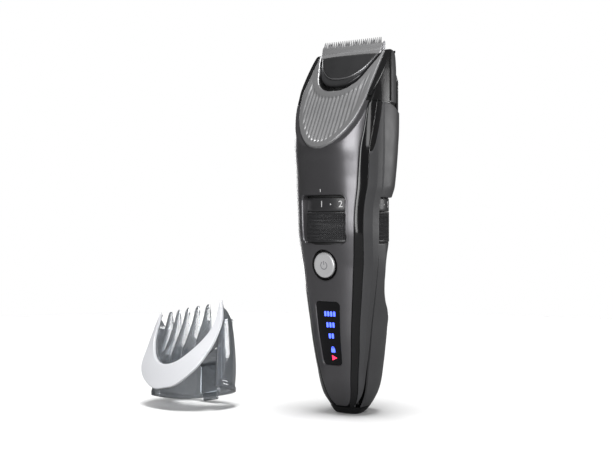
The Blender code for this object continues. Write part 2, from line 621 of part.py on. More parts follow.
def toothed(name, x_half, pitch, tooth, z_root, z_tip, z_low, y0, y1, color, lean=0.0):
    """Blade outline: a bar with pointed teeth along its upper edge."""
    n = int(round(2 * (x_half - 0.9) / pitch))
    pts = [(-x_half, z_low), (x_half, z_low), (x_half, z_root)]
    for k in range(n, -1, -1):
        xc = -x_half + 0.9 + (2 * x_half - 1.8) * k / n
        pts += [(xc + tooth / 2, z_root), (xc + tooth / 4, z_tip), (xc - tooth / 4, z_tip), (xc - tooth / 2, z_root)]
    pts.append((-x_half, z_root))
    return plate(name, pts, y0, y1, color, 0.25, 1.0)


fixed = toothed("fixed_blade", BLADE_HALF, 1.16, 0.62, 171.4, 174.6, 166.6, 3.2, 4.0, (0.72, 0.72, 0.72))
place(fixed, block, PIV)
cutter_pivot = empty("cutter_axis", (0.0, 5.0 * MM, 169.0 * MM), FRAME)
moving = toothed("moving_blade", 15.6, 1.5, 0.9, 171.2, 173.9, 167.6, 4.3, 5.0, (0.66, 0.66, 0.66))
place(moving, cutter_pivot, (0.0, 5.0, 169.0))
driver = finish("blade_driver", box((-5.0, 5.35, 166.7), (5.0, 7.4, 170.6), 0.4), (0.85, 0.85, 0.82), 0.5)
drv_cut = as_cutter(finish("driver_slot", box((-1.35, 4.5, 160.0), (1.35, 9.5, 169.6)), (1, 0, 0), 0.5))
boolean(driver, drv_cut)
place(driver, cutter_pivot, (0.0, 5.0, 169.0))
for nm, lo, hi in (("driver_way", (-2.7, -1.3, 150.0), (2.7, 14.0, 161.6)), ("driver_way_top", (-2.7, 4.4, 160.0), (2.7, 14.0, 170.0))):
    boolean(base, place(as_cutter(finish(nm, box(lo, hi), (1, 0, 0), 0.5)), block, PIV))
spring = finish("blade_spring", join([box((-13.5, 5.6, 167.6), (-6.6, 5.95, 169.4))]), (0.75, 0.75, 0.75), 0.25, 1.0)
place(spring, block, PIV)
spring2 = finish("blade_spring_right", join([box((6.6, 5.6, 167.6), (13.5, 5.95, 169.4))]), (0.75, 0.75, 0.75), 0.25, 1.0)
place(spring2, block, PIV)

# ---------------------------------------------------------------- power button
nrm = Vector((0.0, -0.9964, -0.0848))
btn_y = -section(BUTTON_Z)[1]
btn = empty("button_axis", (0.0, btn_y * MM, BUTTON_Z * MM), FRAME)
tilt = (math.radians(90.0 + 4.865), 0.0, 0.0)
turned("power_button", [(0.0, 0.35), (4.6, 0.25), (BUTTON_R - 0.25, 0.05), (BUTTON_R, -0.3), (BUTTON_R, -1.7),
                        (2.2, -1.7), (2.2, -2.8), (0.0, -2.8)], (0.7, 0.7, 0.7), 0.3, 0.8, 32, btn, rot=tilt)
bez = empty("bezel_axis", (0.0, btn_y * MM, BUTTON_Z * MM), FRAME)
turned("button_bezel", [(6.1, 0.02), (6.55, 0.02), (6.55, -1.1), (6.1, -1.1)], (0.02, 0.02, 0.02), 0.25, 0.0, 32, bez, rot=tilt)
turned("button_seal", [(0.0, -4.15), (3.0, -4.15), (5.4, -3.75), (5.7, -3.75), (5.7, -4.3), (5.3, -4.3), (3.0, -4.7),
                       (0.0, -4.7)],
       (0.03, 0.03, 0.03), 0.7, 0.0, 24, bez, rot=tilt)

# ---------------------------------------------------------------- indicator window
zs_led = [LED_Z0 + 0.4 + (LED_Z1 - LED_Z0 - 0.8) * i / 7 for i in range(8)]


def lens_row(z, off):
    h = 5.4 + 1.5 * (z - LED_Z0) / (LED_Z1 - LED_Z0) - 0.35
    w = section(z)[0]
    out = []
    for j in range(7):
        x = h * (-1 + 2 * j / 6)
        phi = math.degrees(math.asin(max(-1, min(1, math.copysign((abs(x) / w) ** (section(z)[4 - 1] / 2.0), x)))))
        out.append(surf(z, phi, off))
    return out


lens = finish("display_lens", skin([lens_row(z, 0.12) for z in zs_led], [lens_row(z, PANEL_T - 0.05) for z in zs_led]),
              (0.01, 0.01, 0.012), 0.08)
led_trim = as_cutter(plate("led_trim", led_outline(-0.3), -30, -4, (1, 0, 0), 0.5))
boolean(lens, led_trim, 'INTERSECT')
guide_rows = [[(x, -section(z)[1] + d, z) for x in (-3.2, 3.2)] for z, d in ((26.0, 1.75), (49.5, 1.75))]
guide_in = [[(x, -section(z)[1] + d, z) for x in (-3.2, 3.2)] for z, d in ((26.0, 3.3), (49.5, 3.3))]
finish("light_guide", skin(guide_rows, guide_in), (0.8, 0.85, 0.9), 0.2, 0.0, 0.6)

# ---------------------------------------------------------------- circuit board, switch, cell, cell cradle
brd = plate("circuit_board", [(-5.5, 25.5), (5.5, 25.5), (7.4, 40), (7.4, 75.0), (-7.4, 75.0), (-7.4, 40)], -0.6, 0.6,
            (0.02, 0.16, 0.06), 0.5)
brd.matrix_parent_inverse = Matrix.Identity(4)
brd.data.transform(Matrix.Translation((0, -7.9 * MM, 0)) @ Matrix.Translation((0, 0, 25.0 * MM))
                   @ Matrix.Rotation(math.radians(2.6), 4, 'X') @ Matrix.Translation((0, 0, -25.0 * MM)))
finish("tact_switch", box((-2.9, -12.55, 66.4), (2.9, -11.0, 72.2), 0.3), (0.6, 0.6, 0.62), 0.35, 0.6)
turned("battery_cell", [(0.0, CELL_L), (2.6, CELL_L), (2.6, CELL_L - 0.8), (CELL_R - 0.6, CELL_L - 0.8), (CELL_R, CELL_L - 1.4),
                        (CELL_R, 0.5), (CELL_R - 0.5, 0.0), (0.0, 0.0)], (0.10, 0.22, 0.32), 0.4, 0.0, 28,
       loc=(0, CELL_Y * MM, CELL_Z0 * MM))
cr = [[], []]
arcs = [-96 + 192 * j / 14 for j in range(15)]


def cradle_row(z, r):
    return [(r * math.sin(math.radians(a)), CELL_Y - r * math.cos(math.radians(a)), z) for a in arcs]


bm = skin([cradle_row(z, CELL_R + 0.75) for z in (19.5, 37.0, 56.0)], [cradle_row(z, CELL_R + 0.25) for z in (19.5, 37.0, 56.0)])
finish("cell_cradle", bm, (0.5, 0.5, 0.5), 0.6)
finish("cell_contact_top", box((-3.0, -1.8, 58.1), (3.0, 3.8, 58.5)), (0.8, 0.7, 0.45), 0.3, 1.0)
finish("cell_contact_base", box((-3.0, -1.8, 14.7), (3.0, 3.8, 15.2)), (0.8, 0.7, 0.45), 0.3, 1.0)

# ---------------------------------------------------------------- oscillating motor inside the dial bore and the head
MZ = 108.5
bm = join([box((-13.0, -8.4, 61.5), (13.0, 4.6, 63.5))])
finish("motor_chassis", bm, (0.10, 0.10, 0.11), 0.5)
chassis_ob = bpy.data.objects["motor_chassis"]
for k, (x0, x1) in enumerate(((-13.0, -11.6), (11.6, 13.0))):
    wall = as_cutter(finish("chassis_wall_%d" % k, box((x0, -7.5, 62.5), (x1, 4.6, 118.0)), (1, 0, 0), 0.5))
    boolean(chassis_ob, wall, 'UNION')
# laminated core with three legs, coil on the middle leg
core_out = [(-11.0, 86.0), (11.0, 86.0), (11.0, 104.0), (7.4, 104.0), (7.4, 90.5), (2.4, 90.5), (2.4, 104.0), (-2.4, 104.0),
            (-2.4, 90.5), (-7.4, 90.5), (-7.4, 104.0), (-11.0, 104.0)]
plate("stator_core", core_out, -5.5, 3.5, (0.35, 0.35, 0.37), 0.45, 0.9)
coil_bm = skin([[(4.9 * sx, -1.0 + 8.0 * sy, z) for sx, sy in ((-1, -1), (1, -1), (1, 1), (-1, 1))] for z in (91.2, 102.6)],
               [[(2.8 * sx, -1.0 + 5.2 * sy, z) for sx, sy in ((-1, -1), (1, -1), (1, 1), (-1, 1))] for z in (91.2, 102.6)], True)
finish("stator_coil", coil_bm, (0.55, 0.25, 0.10), 0.35, 0.8)
finish("magnet_left", box((-8.6, -5.2, 104.6), (-1.0, 3.2, 106.6)), (0.5, 0.5, 0.52), 0.3, 0.9)
finish("magnet_right", box((1.0, -5.2, 104.6), (8.6, 3.2, 106.6)), (0.5, 0.5, 0.52), 0.3, 0.9)
finish("motor_mover", box((-9.2, -5.6, 106.9), (9.2, 3.6, 110.2), 0.4), (0.25, 0.25, 0.26), 0.4, 0.5)
coil("return_spring_left", (-11.3, -1.0, 108.5), (-9.5, -1.0, 108.5), 1.5, 0.22, 3.0, (0.7, 0.7, 0.7))
coil("return_spring_right", (9.5, -1.0, 108.5), (11.3, -1.0, 108.5), 1.5, 0.22, 3.0, (0.7, 0.7, 0.7))
# drive arm up to the blade driver, through a rubber boot at the top of the head
drive = finish("drive_arm", box((-1.0, -1.9, 110.5), (1.0, 1.5, 150.0)), (0.8, 0.8, 0.78), 0.5)
head_rod = as_cutter(finish("drive_tip", join([box((-1.0, -0.5, 149.0), (1.0, 1.5, 151.5))]), (1, 0, 0), 0.5))
boolean(drive, head_rod, 'UNION')
slope = loft([[(-1.0, -0.5, 150.8), (1.0, -0.5, 150.8), (1.0, 1.5, 150.8), (-1.0, 1.5, 150.8)],
              [(-1.0, 5.7, 160.5), (1.0, 5.7, 160.5), (1.0, 7.0, 160.5), (-1.0, 7.0, 160.5)],
              [(-1.0, 5.7, 168.8), (1.0, 5.7, 168.8), (1.0, 7.0, 168.8), (-1.0, 7.0, 168.8)]])
boolean(drive, as_cutter(finish("drive_tip_slope", slope, (1, 0, 0), 0.5)), 'UNION')
turned("drive_boot", [(3.4, 143.0), (6.6, 141.6), (6.6, 140.4), (3.4, 141.8)], (0.03, 0.03, 0.03), 0.8, 0.0, 24)
for nm, x in (("chassis_screw_left", -9.4), ("chassis_screw_right", 9.4)):
    turned(nm, [(0.0, 66.0), (1.7, 66.0), (1.7, 64.6), (1.0, 64.2), (1.0, 63.8), (0.0, 63.8)], (0.7, 0.7, 0.7), 0.3, 1.0, 12,
           loc=(x * MM, -4.0 * MM, 0))

# ---------------------------------------------------------------- thumb slide with the pop-up trimmer
ZS_SLIDE = [SLIDE_Z0, 102.5, 106, 111, 117, 123, 129, 135, 140, SLIDE_Z1]


def slide_in_sec(z):
    q = section(z)
    return [smooth_at(SLIDE_IN, z, 1), q[1] - 1.5, smooth_at(SLIDE_IN, z, 2), 2.6, smooth_at(SLIDE_POWER, z, 1)]


def slide_cols(sec):
    # the front edges lie in one plane, so that they stay clear of the case all the way up
    a = math.degrees(math.acos((SLIDE_FRONT / sec[1]) ** (sec[3] / 2)))
    half = [a, 92, 102, 114, 127, 141, 156, 170]
    return half + [180.0] + [360.0 - p for p in reversed(half)]


def slide_out(z, p):
    x, y, _ = surf(z, p, max(0.0, (104.0 - z) * 0.05))
    return (x, y, z)


bm = skin([[slide_out(z, p) for p in slide_cols(section(z))] for z in ZS_SLIDE],
          [[surf(z, p, 0.0, slide_in_sec(z)) for p in slide_cols(slide_in_sec(z))] for z in ZS_SLIDE])
bmesh.ops.triangulate(bm, faces=bm.faces)
slide = finish("trimmer_slide", bm, (0.07, 0.07, 0.073), 0.42)
finish("trimmer_frame", box((-15.9, 18.0, 144.0), (15.9, 18.9, 155.6)), (0.03, 0.03, 0.03), 0.5)
tf = toothed("trimmer_fixed_blade", 15.4, 1.5, 0.85, 155.8, 158.3, 150.5, 19.2, 19.6, (0.7, 0.7, 0.7))
tm = toothed("trimmer_moving_blade", 14.2, 1.5, 0.8, 155.5, 157.9, 150.9, 19.9, 20.3, (0.62, 0.62, 0.62))

# ---------------------------------------------------------------- guide comb, detached and leaning
CL = Matrix.Translation((-80.9 * MM, (-25.1 + DIAL_AXIS_Y) * MM, 47.3 * MM)) @ Matrix.Rotation(
    math.radians(-COMB_LEAN), 4, Vector((math.cos(math.radians(COMB_YAW)), math.sin(math.radians(COMB_YAW)), 0.0)))
comb = bpy.data.objects.new("comb_frame", None)
comb.empty_display_size = 0.01
comb.matrix_world = CL
PARTS.objects.link(comb)

BAND_Y = [(-44.0, -14.2), (-42.0, -13.8), (-30.0, -10.9), (-17.0, -5.0), (-8.0, -1.6), (1.5, 1.0)]
BAND_OUT = [(0.0, -42.0), (7.8, -41.0), (17.4, -34.3), (22.2, -26.4), (23.5, -17.0), (23.3, -8.5), (20.9, 0.8)]
BAND_IN = [(0.0, -29.9), (7.3, -28.1), (14.2, -22.2), (18.7, -15.2), (19.9, -10.0), (20.1, -7.0), (20.2, 0.3)]


def band_y(x, z):
    return smooth_at(BAND_Y, z, 1) + 0.005 * x * x


def chain(pts, t):
    """Catmull-Rom through the points, mirrored in X about the first one; t from -1 to 1."""
    m = len(pts) - 1
    full = [(-x, z) for x, z in reversed(pts[1:])] + list(pts)
    u = (t + 1) / 2 * (2 * m)
    i = min(2 * m - 1, max(0, int(math.floor(u))))
    f = u - i
    p0, p1 = full[max(0, i - 1)], full[i]
    p2, p3 = full[i + 1], full[min(2 * m, i + 2)]
    return tuple(0.5 * (2 * p1[k] + (p2[k] - p0[k]) * f + (2 * p0[k] - 5 * p1[k] + 4 * p2[k] - p3[k]) * f * f
                        + (3 * p1[k] - p0[k] - 3 * p2[k] + p3[k]) * f ** 3) for k in (0, 1))


def band_rows(d, n=24, m=3):
    rows = []
    for i in range(n + 1):
        t = -1 + 2 * i / n
        a, b = chain(BAND_OUT, t), chain(BAND_IN, t)
        row = []
        for j in range(m + 1):
            x, z = a[0] + (b[0] - a[0]) * j / m, a[1] + (b[1] - a[1]) * j / m
            row.append((x, band_y(x, z) + d, z))
        rows.append(row)
    return rows


finish("comb_band", skin(band_rows(0.0), band_rows(1.4)), (0.75, 0.76, 0.78), 0.3, 0.0, 1.0, comb)

# hood: side and rear walls
HOOD_R = [(-42.0, 17.6), (-33.0, 17.4), (-22.0, 15.6), (-9.0, 12.0), (-2.0, 8.0), (1.0, 7.0)]
HOOD_W = [(-42.0, 21.6), (-33.0, 22.6), (-22.0, 23.1), (-9.0, 22.9), (0.8, 21.2)]
HOOD_TOP = [(70.0, 0.2), (90.0, -3.2), (110.0, -8.0), (130.0, -14.0), (150.0, -18.0), (180.0, -19.0)]
HOOD_START = [(-42.0, 100.0), (-36.0, 82.0), (-26.0, 72.0), (0.8, 72.0)]


def hood_point(p, f, off):
    q = min(p, 360.0 - p)
    z1 = smooth_at(HOOD_TOP, q, 1)
    z = -41.5 + (z1 + 41.5) * f
    w, r = smooth_at(HOOD_W, z, 1) - off, smooth_at(HOOD_R, z, 1) - off
    x, y = squircle(w, 13.0 - off, r, 2.4, 2.8, p)
    y += 4.4
    if q < 100:
        y = max(y, band_y(x, z) + 1.75)
    return (x, y, z)


hood_cols = [74, 82, 90, 100, 111, 123, 136, 150, 165, 180] + [360 - p for p in (165, 150, 136, 123, 111, 100, 90, 82, 74)]
fr = [0.0, 0.18, 0.36, 0.54, 0.72, 0.88, 1.0]
bm = skin([[hood_point(p, f, 0.0) for p in hood_cols] for f in fr], [[hood_point(p, f, 1.3) for p in hood_cols] for f in fr])
hood = finish("comb_body", bm, (0.35, 0.37, 0.40), 0.1, 0.0, 0.5, comb)


def trough_rows(d):
    rows = []
    for i in range(21):
        t = (-1 + 2 * i / 20) * 0.82
        x, z = chain(BAND_IN, t)
        k = 1.0 - d / max(1.0, math.hypot(x, 12.0))
        rows.append([(x * k, band_y(x, z) + 1.75 + g, z + (d * 0.8 if abs(x) < 19 else 0.0)) for g in (0.0, 5.0, 11.0)])
    return rows


tr = as_cutter(finish("comb_trough", skin(trough_rows(0.0), trough_rows(1.2)), (1, 0, 0), 0.5, parent=comb))
tr.modifiers.new("t", 'TRIANGULATE')
boolean(hood, tr, 'UNION')
for k, x in enumerate((-12.8, -6.4, 0.0, 6.4, 12.8)):
    zb = None
    for i in range(200):
        a = chain(BAND_IN, 0.99 * i / 200)
        if abs(a[0]) >= abs(x):
            zb = a[1]
            break
    front = [(band_y(x, z) + (1.75 if z < zb + 2.0 else 0.6), z) for z in
             [zb + 0.5, zb + 3.0, zb + 8.0, zb * 0.45, -6.0, -2.0, -0.4]]
    back = [(band_y(x, z) + 1.75 + g, z) for z, g in ((0.2, 1.6), (-1.2, 3.4), (-5.0, 5.0), (zb * 0.5, 7.0), (zb + 5.0, 9.0), (zb + 0.5, 9.6))]
    t = as_cutter(plate("comb_tooth_%d" % k, front + back, x - 0.6, x + 0.6, (1, 0, 0), 0.5, plane='YZ', parent=comb))
    boolean(hood, t, 'UNION')
post = as_cutter(finish("comb_post", box((-6.0, 18.6, -40.2), (6.0, 20.9, -25.0), 0.3), (1, 0, 0), 0.5, parent=comb))
peg = as_cutter(finish("comb_peg", box((-4.6, 18.9, -43.7), (4.6, 20.6, -39.5), 0.3), (1, 0, 0), 0.5, parent=comb))
boolean(hood, post, 'UNION')
boolean(hood, peg, 'UNION')

bpy.context.view_layer.update()
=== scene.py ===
"""Looks for the cordless hair clipper and its guide comb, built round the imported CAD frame."""
import bpy
import bmesh
import json
import math
import numpy as np
from mathutils import Vector, Matrix


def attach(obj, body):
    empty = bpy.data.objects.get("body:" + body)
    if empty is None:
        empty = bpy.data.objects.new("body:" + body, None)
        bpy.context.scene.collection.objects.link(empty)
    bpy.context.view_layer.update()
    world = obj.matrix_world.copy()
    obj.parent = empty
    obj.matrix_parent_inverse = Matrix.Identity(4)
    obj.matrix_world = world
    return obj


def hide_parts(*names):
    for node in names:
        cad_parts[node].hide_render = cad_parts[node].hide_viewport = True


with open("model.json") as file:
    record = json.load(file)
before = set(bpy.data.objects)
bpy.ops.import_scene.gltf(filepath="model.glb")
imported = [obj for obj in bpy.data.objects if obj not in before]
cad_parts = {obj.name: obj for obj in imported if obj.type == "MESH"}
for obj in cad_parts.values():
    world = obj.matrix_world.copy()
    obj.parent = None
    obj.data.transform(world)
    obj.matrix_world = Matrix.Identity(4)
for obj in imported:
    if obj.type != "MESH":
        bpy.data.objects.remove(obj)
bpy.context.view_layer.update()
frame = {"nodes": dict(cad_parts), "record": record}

MM = 0.001

# ------------------------------------------------------------------ the design's tables (mm), as in the CAD source
STATIONS = [
    (0.0, 6.2, 2.6, 8.9, 2.2, 2.2), (1.5, 7.7, 3.5, 11.2, 2.3, 2.2), (3.0, 8.8, 4.2, 12.5, 2.4, 2.25),
    (6.0, 10.6, 5.6, 14.3, 2.5, 2.3), (10.0, 12.3, 7.3, 16.6, 2.6, 2.3), (15.0, 13.3, 9.2, 18.5, 2.6, 2.3),
    (20.0, 13.9, 10.6, 19.3, 2.6, 2.3), (25.0, 14.7, 11.8, 19.6, 2.6, 2.3), (30.0, 15.4, 12.8, 19.8, 2.6, 2.3),
    (36.0, 16.1, 14.0, 20.2, 2.6, 2.3), (43.0, 16.9, 14.9, 20.1, 2.6, 2.3), (48.0, 17.6, 15.4, 18.2, 2.6, 2.3),
    (53.0, 18.3, 15.9, 13.6, 2.6, 2.3), (58.0, 19.0, 16.4, 10.3, 2.6, 2.3), (63.0, 19.6, 16.9, 9.0, 2.6, 2.3),
    (68.0, 20.2, 17.4, 9.1, 2.6, 2.3), (73.0, 20.6, 18.1, 11.0, 2.7, 2.2), (79.0, 20.8, 19.0, 14.8, 2.85, 2.1),
    (85.0, 20.9, 19.7, 17.2, 3.0, 2.0), (90.0, 20.9, 20.0, 17.8, 3.0, 2.0), (95.0, 21.1, 20.1, 18.0, 3.0, 2.0),
    (100.0, 21.7, 20.2, 18.1, 2.9, 2.1), (105.0, 22.5, 20.5, 18.6, 2.7, 2.3), (110.0, 22.8, 20.9, 18.9, 2.6, 2.4),
    (116.0, 23.0, 21.5, 19.4, 2.6, 2.5), (123.0, 23.1, 22.3, 19.9, 2.6, 2.6), (130.0, 23.1, 21.8, 19.9, 2.6, 2.8),
    (138.0, 23.1, 21.3, 19.7, 2.6, 2.9), (144.0, 23.0, 21.0, 19.6, 2.6, 2.9),
]
HEAD = [(144.0, 22.3, 20.8, 17.6, 2.6, 2.9), (158.0, 22.3, 20.6, 17.5, 2.6, 2.9),
        (164.0, 22.1, 20.4, 17.2, 2.6, 2.9), (167.6, 21.7, 20.0, 16.7, 2.6, 2.9), (168.6, 21.0, 19.4, 16.0, 2.6, 2.9)]
SLIDE_IN = [(100.0, 20.65, 17.0), (105.0, 21.3, 17.35), (110.0, 21.6, 17.6), (116.0, 21.8, 18.1),
            (123.0, 22.1, 18.4), (129.0, 22.6, 18.5), (144.0, 22.6, 18.5)]
CORE = [(100.0, 20.3, 16.7), (114.3, 20.3, 16.7), (119.0, 20.9, 17.0), (124.0, 21.2, 17.2),
        (130.0, 21.4, 17.7), (137.0, 21.6, 17.9), (144.0, 22.0, 17.6)]
CORE_POWER = [(100.0, 2.3), (115.0, 2.3), (118.0, 2.4), (120.0, 2.46), (124.0, 2.6), (144.0, 2.6)]
SLIDE_POWER = [(100.0, 2.3), (101.0, 2.3), (104.0, 2.42), (106.0, 2.5), (110.0, 2.6), (116.0, 2.6), (123.0, 2.6), (130.0, 2.8), (138.0, 2.9),
               (144.0, 2.9)]
PANEL_EDGE = [(3.5, 24.0), (15.7, 31.3), (25.0, 35.5), (44.0, 38.3), (66.0, 39.2), (85.0, 42.0), (100.0, 44.4),
              (112.0, 46.9), (124.0, 51.4), (131.0, 55.3), (142.0, 60.0), (150.0, 63.0)]
STRIP_EDGE = [(0.0, 43.0), (3.2, 45.0), (15.8, 51.7), (30.0, 55.0), (62.0, 55.6), (80.0, 57.5), (98.5, 60.0), (107.0, 61.5),
              (121.7, 65.4), (134.5, 71.8), (144.0, 76.5)]
SLANT = [(120.0, -25.2), (123.0, -23.4), (133.0, -18.3), (149.3, -10.5), (155.4, -6.5), (168.4, 2.4), (180.0, 10.4)]
SLANT_CROWN = 0.003
COLLAR_HALF = [(122.9, 0.0), (123.2, 4.2), (124.4, 7.0), (127.3, 10.1), (133.0, 14.7), (139.0, 17.3), (150.0, 19.3), (168.3, 18.9)]
SCOOP = [(149.4, 0.0), (149.8, 4.5), (151.2, 8.0), (154.0, 11.4), (160.0, 14.6), (168.6, 18.0), (176.0, 18.6)]
LIP = [(151.9, 0.0), (152.3, 4.0), (153.6, 7.6), (156.0, 10.9), (161.0, 13.9), (167.4, 16.9)]
COVER = [(155.6, 0.0), (156.0, 4.4), (157.2, 7.6), (160.6, 11.9), (164.0, 14.3), (167.2, 15.9)]
DIAL_R, DIAL_Z0, DIAL_Z1, DIAL_SPLIT = 19.5, 79.8, 100.0, 93.8
WIN = (12.35, 79.2, 101.1, 2.5)
BTN_Z, BTN_R = 69.3, 5.8
SLIDE_Z0, SLIDE_Z1, SLIDE_EDGE = 100.3, 143.6, 84.0
COMB_YAW, COMB_LEAN = 39.0, 17.0


def smooth_at(table, z, col=1):
    n = len(table)
    z = max(table[0][0], min(table[-1][0], z))
    d = [(table[i + 1][col] - table[i][col]) / (table[i + 1][0] - table[i][0]) for i in range(n - 1)]
    m = [d[0]] + [0.0 if d[i - 1] * d[i] <= 0 else 2 * d[i - 1] * d[i] / (d[i - 1] + d[i])
                  for i in range(1, n - 1)] + [d[-1]]
    i = max(k for k in range(n - 1) if table[k][0] <= z)
    h = table[i + 1][0] - table[i][0]
    t = (z - table[i][0]) / h
    return ((2 * t ** 3 - 3 * t * t + 1) * table[i][col] + (t ** 3 - 2 * t * t + t) * h * m[i]
            + (-2 * t ** 3 + 3 * t * t) * table[i + 1][col] + (t ** 3 - t * t) * h * m[i + 1])


_SEC = {}


def section(z):
    k = round(z, 3)
    if k not in _SEC:
        t = HEAD if z > 143.9 else STATIONS
        _SEC[k] = [smooth_at(t, z, c) for c in range(1, 6)]
    return _SEC[k]


def squircle(w, f, r, nf, nr, phi):
    s, c = math.sin(math.radians(phi)), math.cos(math.radians(phi))
    n = nf if c > 0 else nr
    return (w * math.copysign(abs(s) ** (2.0 / n), s), (-f if c > 0 else r) * abs(c) ** (2.0 / n))


def surf(z, phi, off=0.0, sec=None):
    q = sec or section(z)
    x, y = squircle(*q, phi)
    if off:
        x0, y0 = squircle(*q, phi - 0.6)
        x1, y1 = squircle(*q, phi + 0.6)
        t = math.hypot(x1 - x0, y1 - y0)
        x, y = x - off * (y1 - y0) / t, y + off * (x1 - x0) / t
    return (x, y, z)


_ARC = {}


def arc(z, phi, mm):
    k = (round(z, 2), round(phi, 2))
    if k not in _ARC:
        a, b = surf(z, phi - 0.5), surf(z, phi + 0.5)
        _ARC[k] = 1.0 / math.hypot(b[0] - a[0], b[1] - a[1])
    return mm * _ARC[k]


def slant_y(x, z, deeper=0.0):
    return smooth_at(SLANT, z) + SLANT_CROWN * x * x + deeper


def slant_point(x, z, deeper):
    """Point of the slanted face, moved inwards along its own normal."""
    h = 0.2
    dz = (slant_y(x, z + h) - slant_y(x, z - h)) / (2 * h)
    dx = 2 * SLANT_CROWN * x
    n = Vector((dx, -1.0, dz)).normalized()       # out of the face
    return (x - n.x * deeper, slant_y(x, z) - n.y * deeper, z - n.z * deeper)


def core_sec(z):
    q = section(z)
    return [smooth_at(CORE, z, 1), q[1] - 1.5, smooth_at(CORE, z, 2), 2.6, smooth_at(CORE_POWER, z, 1)]


def edge_round(d, r):
    """How far a rounded edge of radius r falls away at a distance d from the edge."""
    if d >= r:
        return 0.0
    return r - math.sqrt(max(0.0, r * r - (r - d) ** 2))


def front_point(x, z, depth=0.0):
    """Point of the front surface over (x, z), moved inwards along the surface normal."""
    def y_at(xx, zz):
        w, f, r, nf, nr = section(zz)
        return -f * max(0.0, 1 - (abs(xx) / w) ** nf) ** (1.0 / nf)
    y = y_at(x, z)
    h = 0.15
    gx = (y_at(x + h, z) - y_at(x - h, z)) / (2 * h)
    gz = (y_at(x, z + h) - y_at(x, z - h)) / (2 * h)
    n = Vector((gx, -1.0, gz)).normalized()
    return Vector((x, y, z)) - n * depth


# ------------------------------------------------------------------ mesh helpers
def obj_from(name, verts, faces, mat, smooth=35.0, body="root", node=None, mats=None, midx=None, weld=0.0):
    me = bpy.data.meshes.new(name)
    me.from_pydata([(v[0] * MM, v[1] * MM, v[2] * MM) for v in verts], [], faces)
    for m in (mats or [mat]):
        me.materials.append(m)
    if midx is not None:
        me.polygons.foreach_set("material_index", midx)
    bm = bmesh.new()
    bm.from_mesh(me)
    if weld:
        bmesh.ops.remove_doubles(bm, verts=bm.verts, dist=weld * MM)
    bmesh.ops.recalc_face_normals(bm, faces=bm.faces)
    bm.to_mesh(me)
    bm.free()
    me.shade_smooth()
    me.set_sharp_from_angle(angle=math.radians(smooth))
    ob = bpy.data.objects.new(name, me)
    bpy.context.scene.collection.objects.link(ob)
    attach(ob, body)
    if node:
        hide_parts(*(node if isinstance(node, (list, tuple)) else [node]))
    return ob


def solid_grid(name, out, inn, mat, closed=False, **kw):
    """Closed shell between an outer and an inner grid of points."""
    nr, nc = len(out), len(out[0])
    verts = [p for row in out for p in row] + [p for row in inn for p in row]
    k = nr * nc
    faces = []
    rng = nc if closed else nc - 1
    for i in range(nr - 1):
        for j in range(rng):
            a, b = i * nc + j, i * nc + (j + 1) % nc
            c, d = b + nc, a + nc
            faces.append((a, b, c, d))
            faces.append((k + a, k + d, k + c, k + b))
    for j in range(rng):
        a, b = j, (j + 1) % nc
        faces.append((b, a, k + a, k + b))
        a, b = (nr - 1) * nc + j, (nr - 1) * nc + (j + 1) % nc
        faces.append((a, b, k + b, k + a))
    if not closed:
        for i in range(nr - 1):
            a, d = i * nc, (i + 1) * nc
            faces.append((a, d, k + d, k + a))
            a, d = a + nc - 1, d + nc - 1
            faces.append((d, a, k + a, k + d))
    return obj_from(name, verts, faces, mat, **kw)


def shell(name, out, inn, mat, drop=None, midx=None, mats=None, closed=False, **kw):
    """Closed shell between two grids; cells under a hole are left out and every open edge gets a wall."""
    nr, nc = len(out), len(out[0])
    verts = [p for row in out for p in row] + [p for row in inn for p in row]
    k = nr * nc
    rng = nc if closed else nc - 1
    keep, mid = {}, {}
    for i in range(nr - 1):
        for j in range(rng):
            q = (i * nc + j, i * nc + (j + 1) % nc, (i + 1) * nc + (j + 1) % nc, (i + 1) * nc + j)
            c = [sum(verts[v][n] for v in q) / 4 for n in range(3)]
            if drop and drop(*c):
                continue
            keep[(i, j)] = q
            mid[(i, j)] = midx(*c) if midx else 0
    faces, idx = [], []

    def has(i, j):
        return ((i, j % nc) if closed else (i, j)) in keep
    for (i, j), (a, b, c, d) in keep.items():
        m = mid[(i, j)]
        faces += [(a, b, c, d), (k + a, k + d, k + c, k + b)]
        idx += [m, m]
        for free, e in ((not has(i - 1, j), (a, b)), (not has(i + 1, j), (c, d)), (not has(i, j + 1), (b, c)),
                        (not has(i, j - 1), (d, a))):
            if free:
                faces.append((e[1], e[0], k + e[0], k + e[1]))
                idx.append(m)
    used = sorted({v for f in faces for v in f})
    ren = {v: n for n, v in enumerate(used)}
    return obj_from(name, [verts[v] for v in used], [tuple(ren[v] for v in f) for f in faces], mat, mats=mats,
                    midx=idx if midx else None, **kw)


def rounded_rect(hx, z0, z1, r, n=8, hx_top=None):
    """Outline of a rounded rectangle, counter-clockwise seen from the front, with outward normals."""
    top = hx_top if hx_top is not None else hx
    pts = []
    corners = [(hx - r, z0 + r, -90), (top - r, z1 - r, 0), (-(top - r), z1 - r, 90), (-(hx - r), z0 + r, 180)]
    for cx, cz, a0 in corners:
        for i in range(n + 1):
            a = math.radians(a0 + 90 * i / n)
            pts.append((cx + r * math.cos(a), cz + r * math.sin(a)))
    dense = []
    for i in range(len(pts)):
        p, q = pts[i], pts[(i + 1) % len(pts)]
        m = max(1, int(math.hypot(q[0] - p[0], q[1] - p[1]) / 1.0))
        dense += [(p[0] + (q[0] - p[0]) * k / m, p[1] + (q[1] - p[1]) * k / m) for k in range(m)]
    return dense


def normals_of(pts):
    out = []
    n = len(pts)
    for i in range(n):
        a, b = pts[i - 1], pts[(i + 1) % n]
        t = Vector((b[0] - a[0], b[1] - a[1])).normalized()
        out.append((t.y, -t.x))
    return out


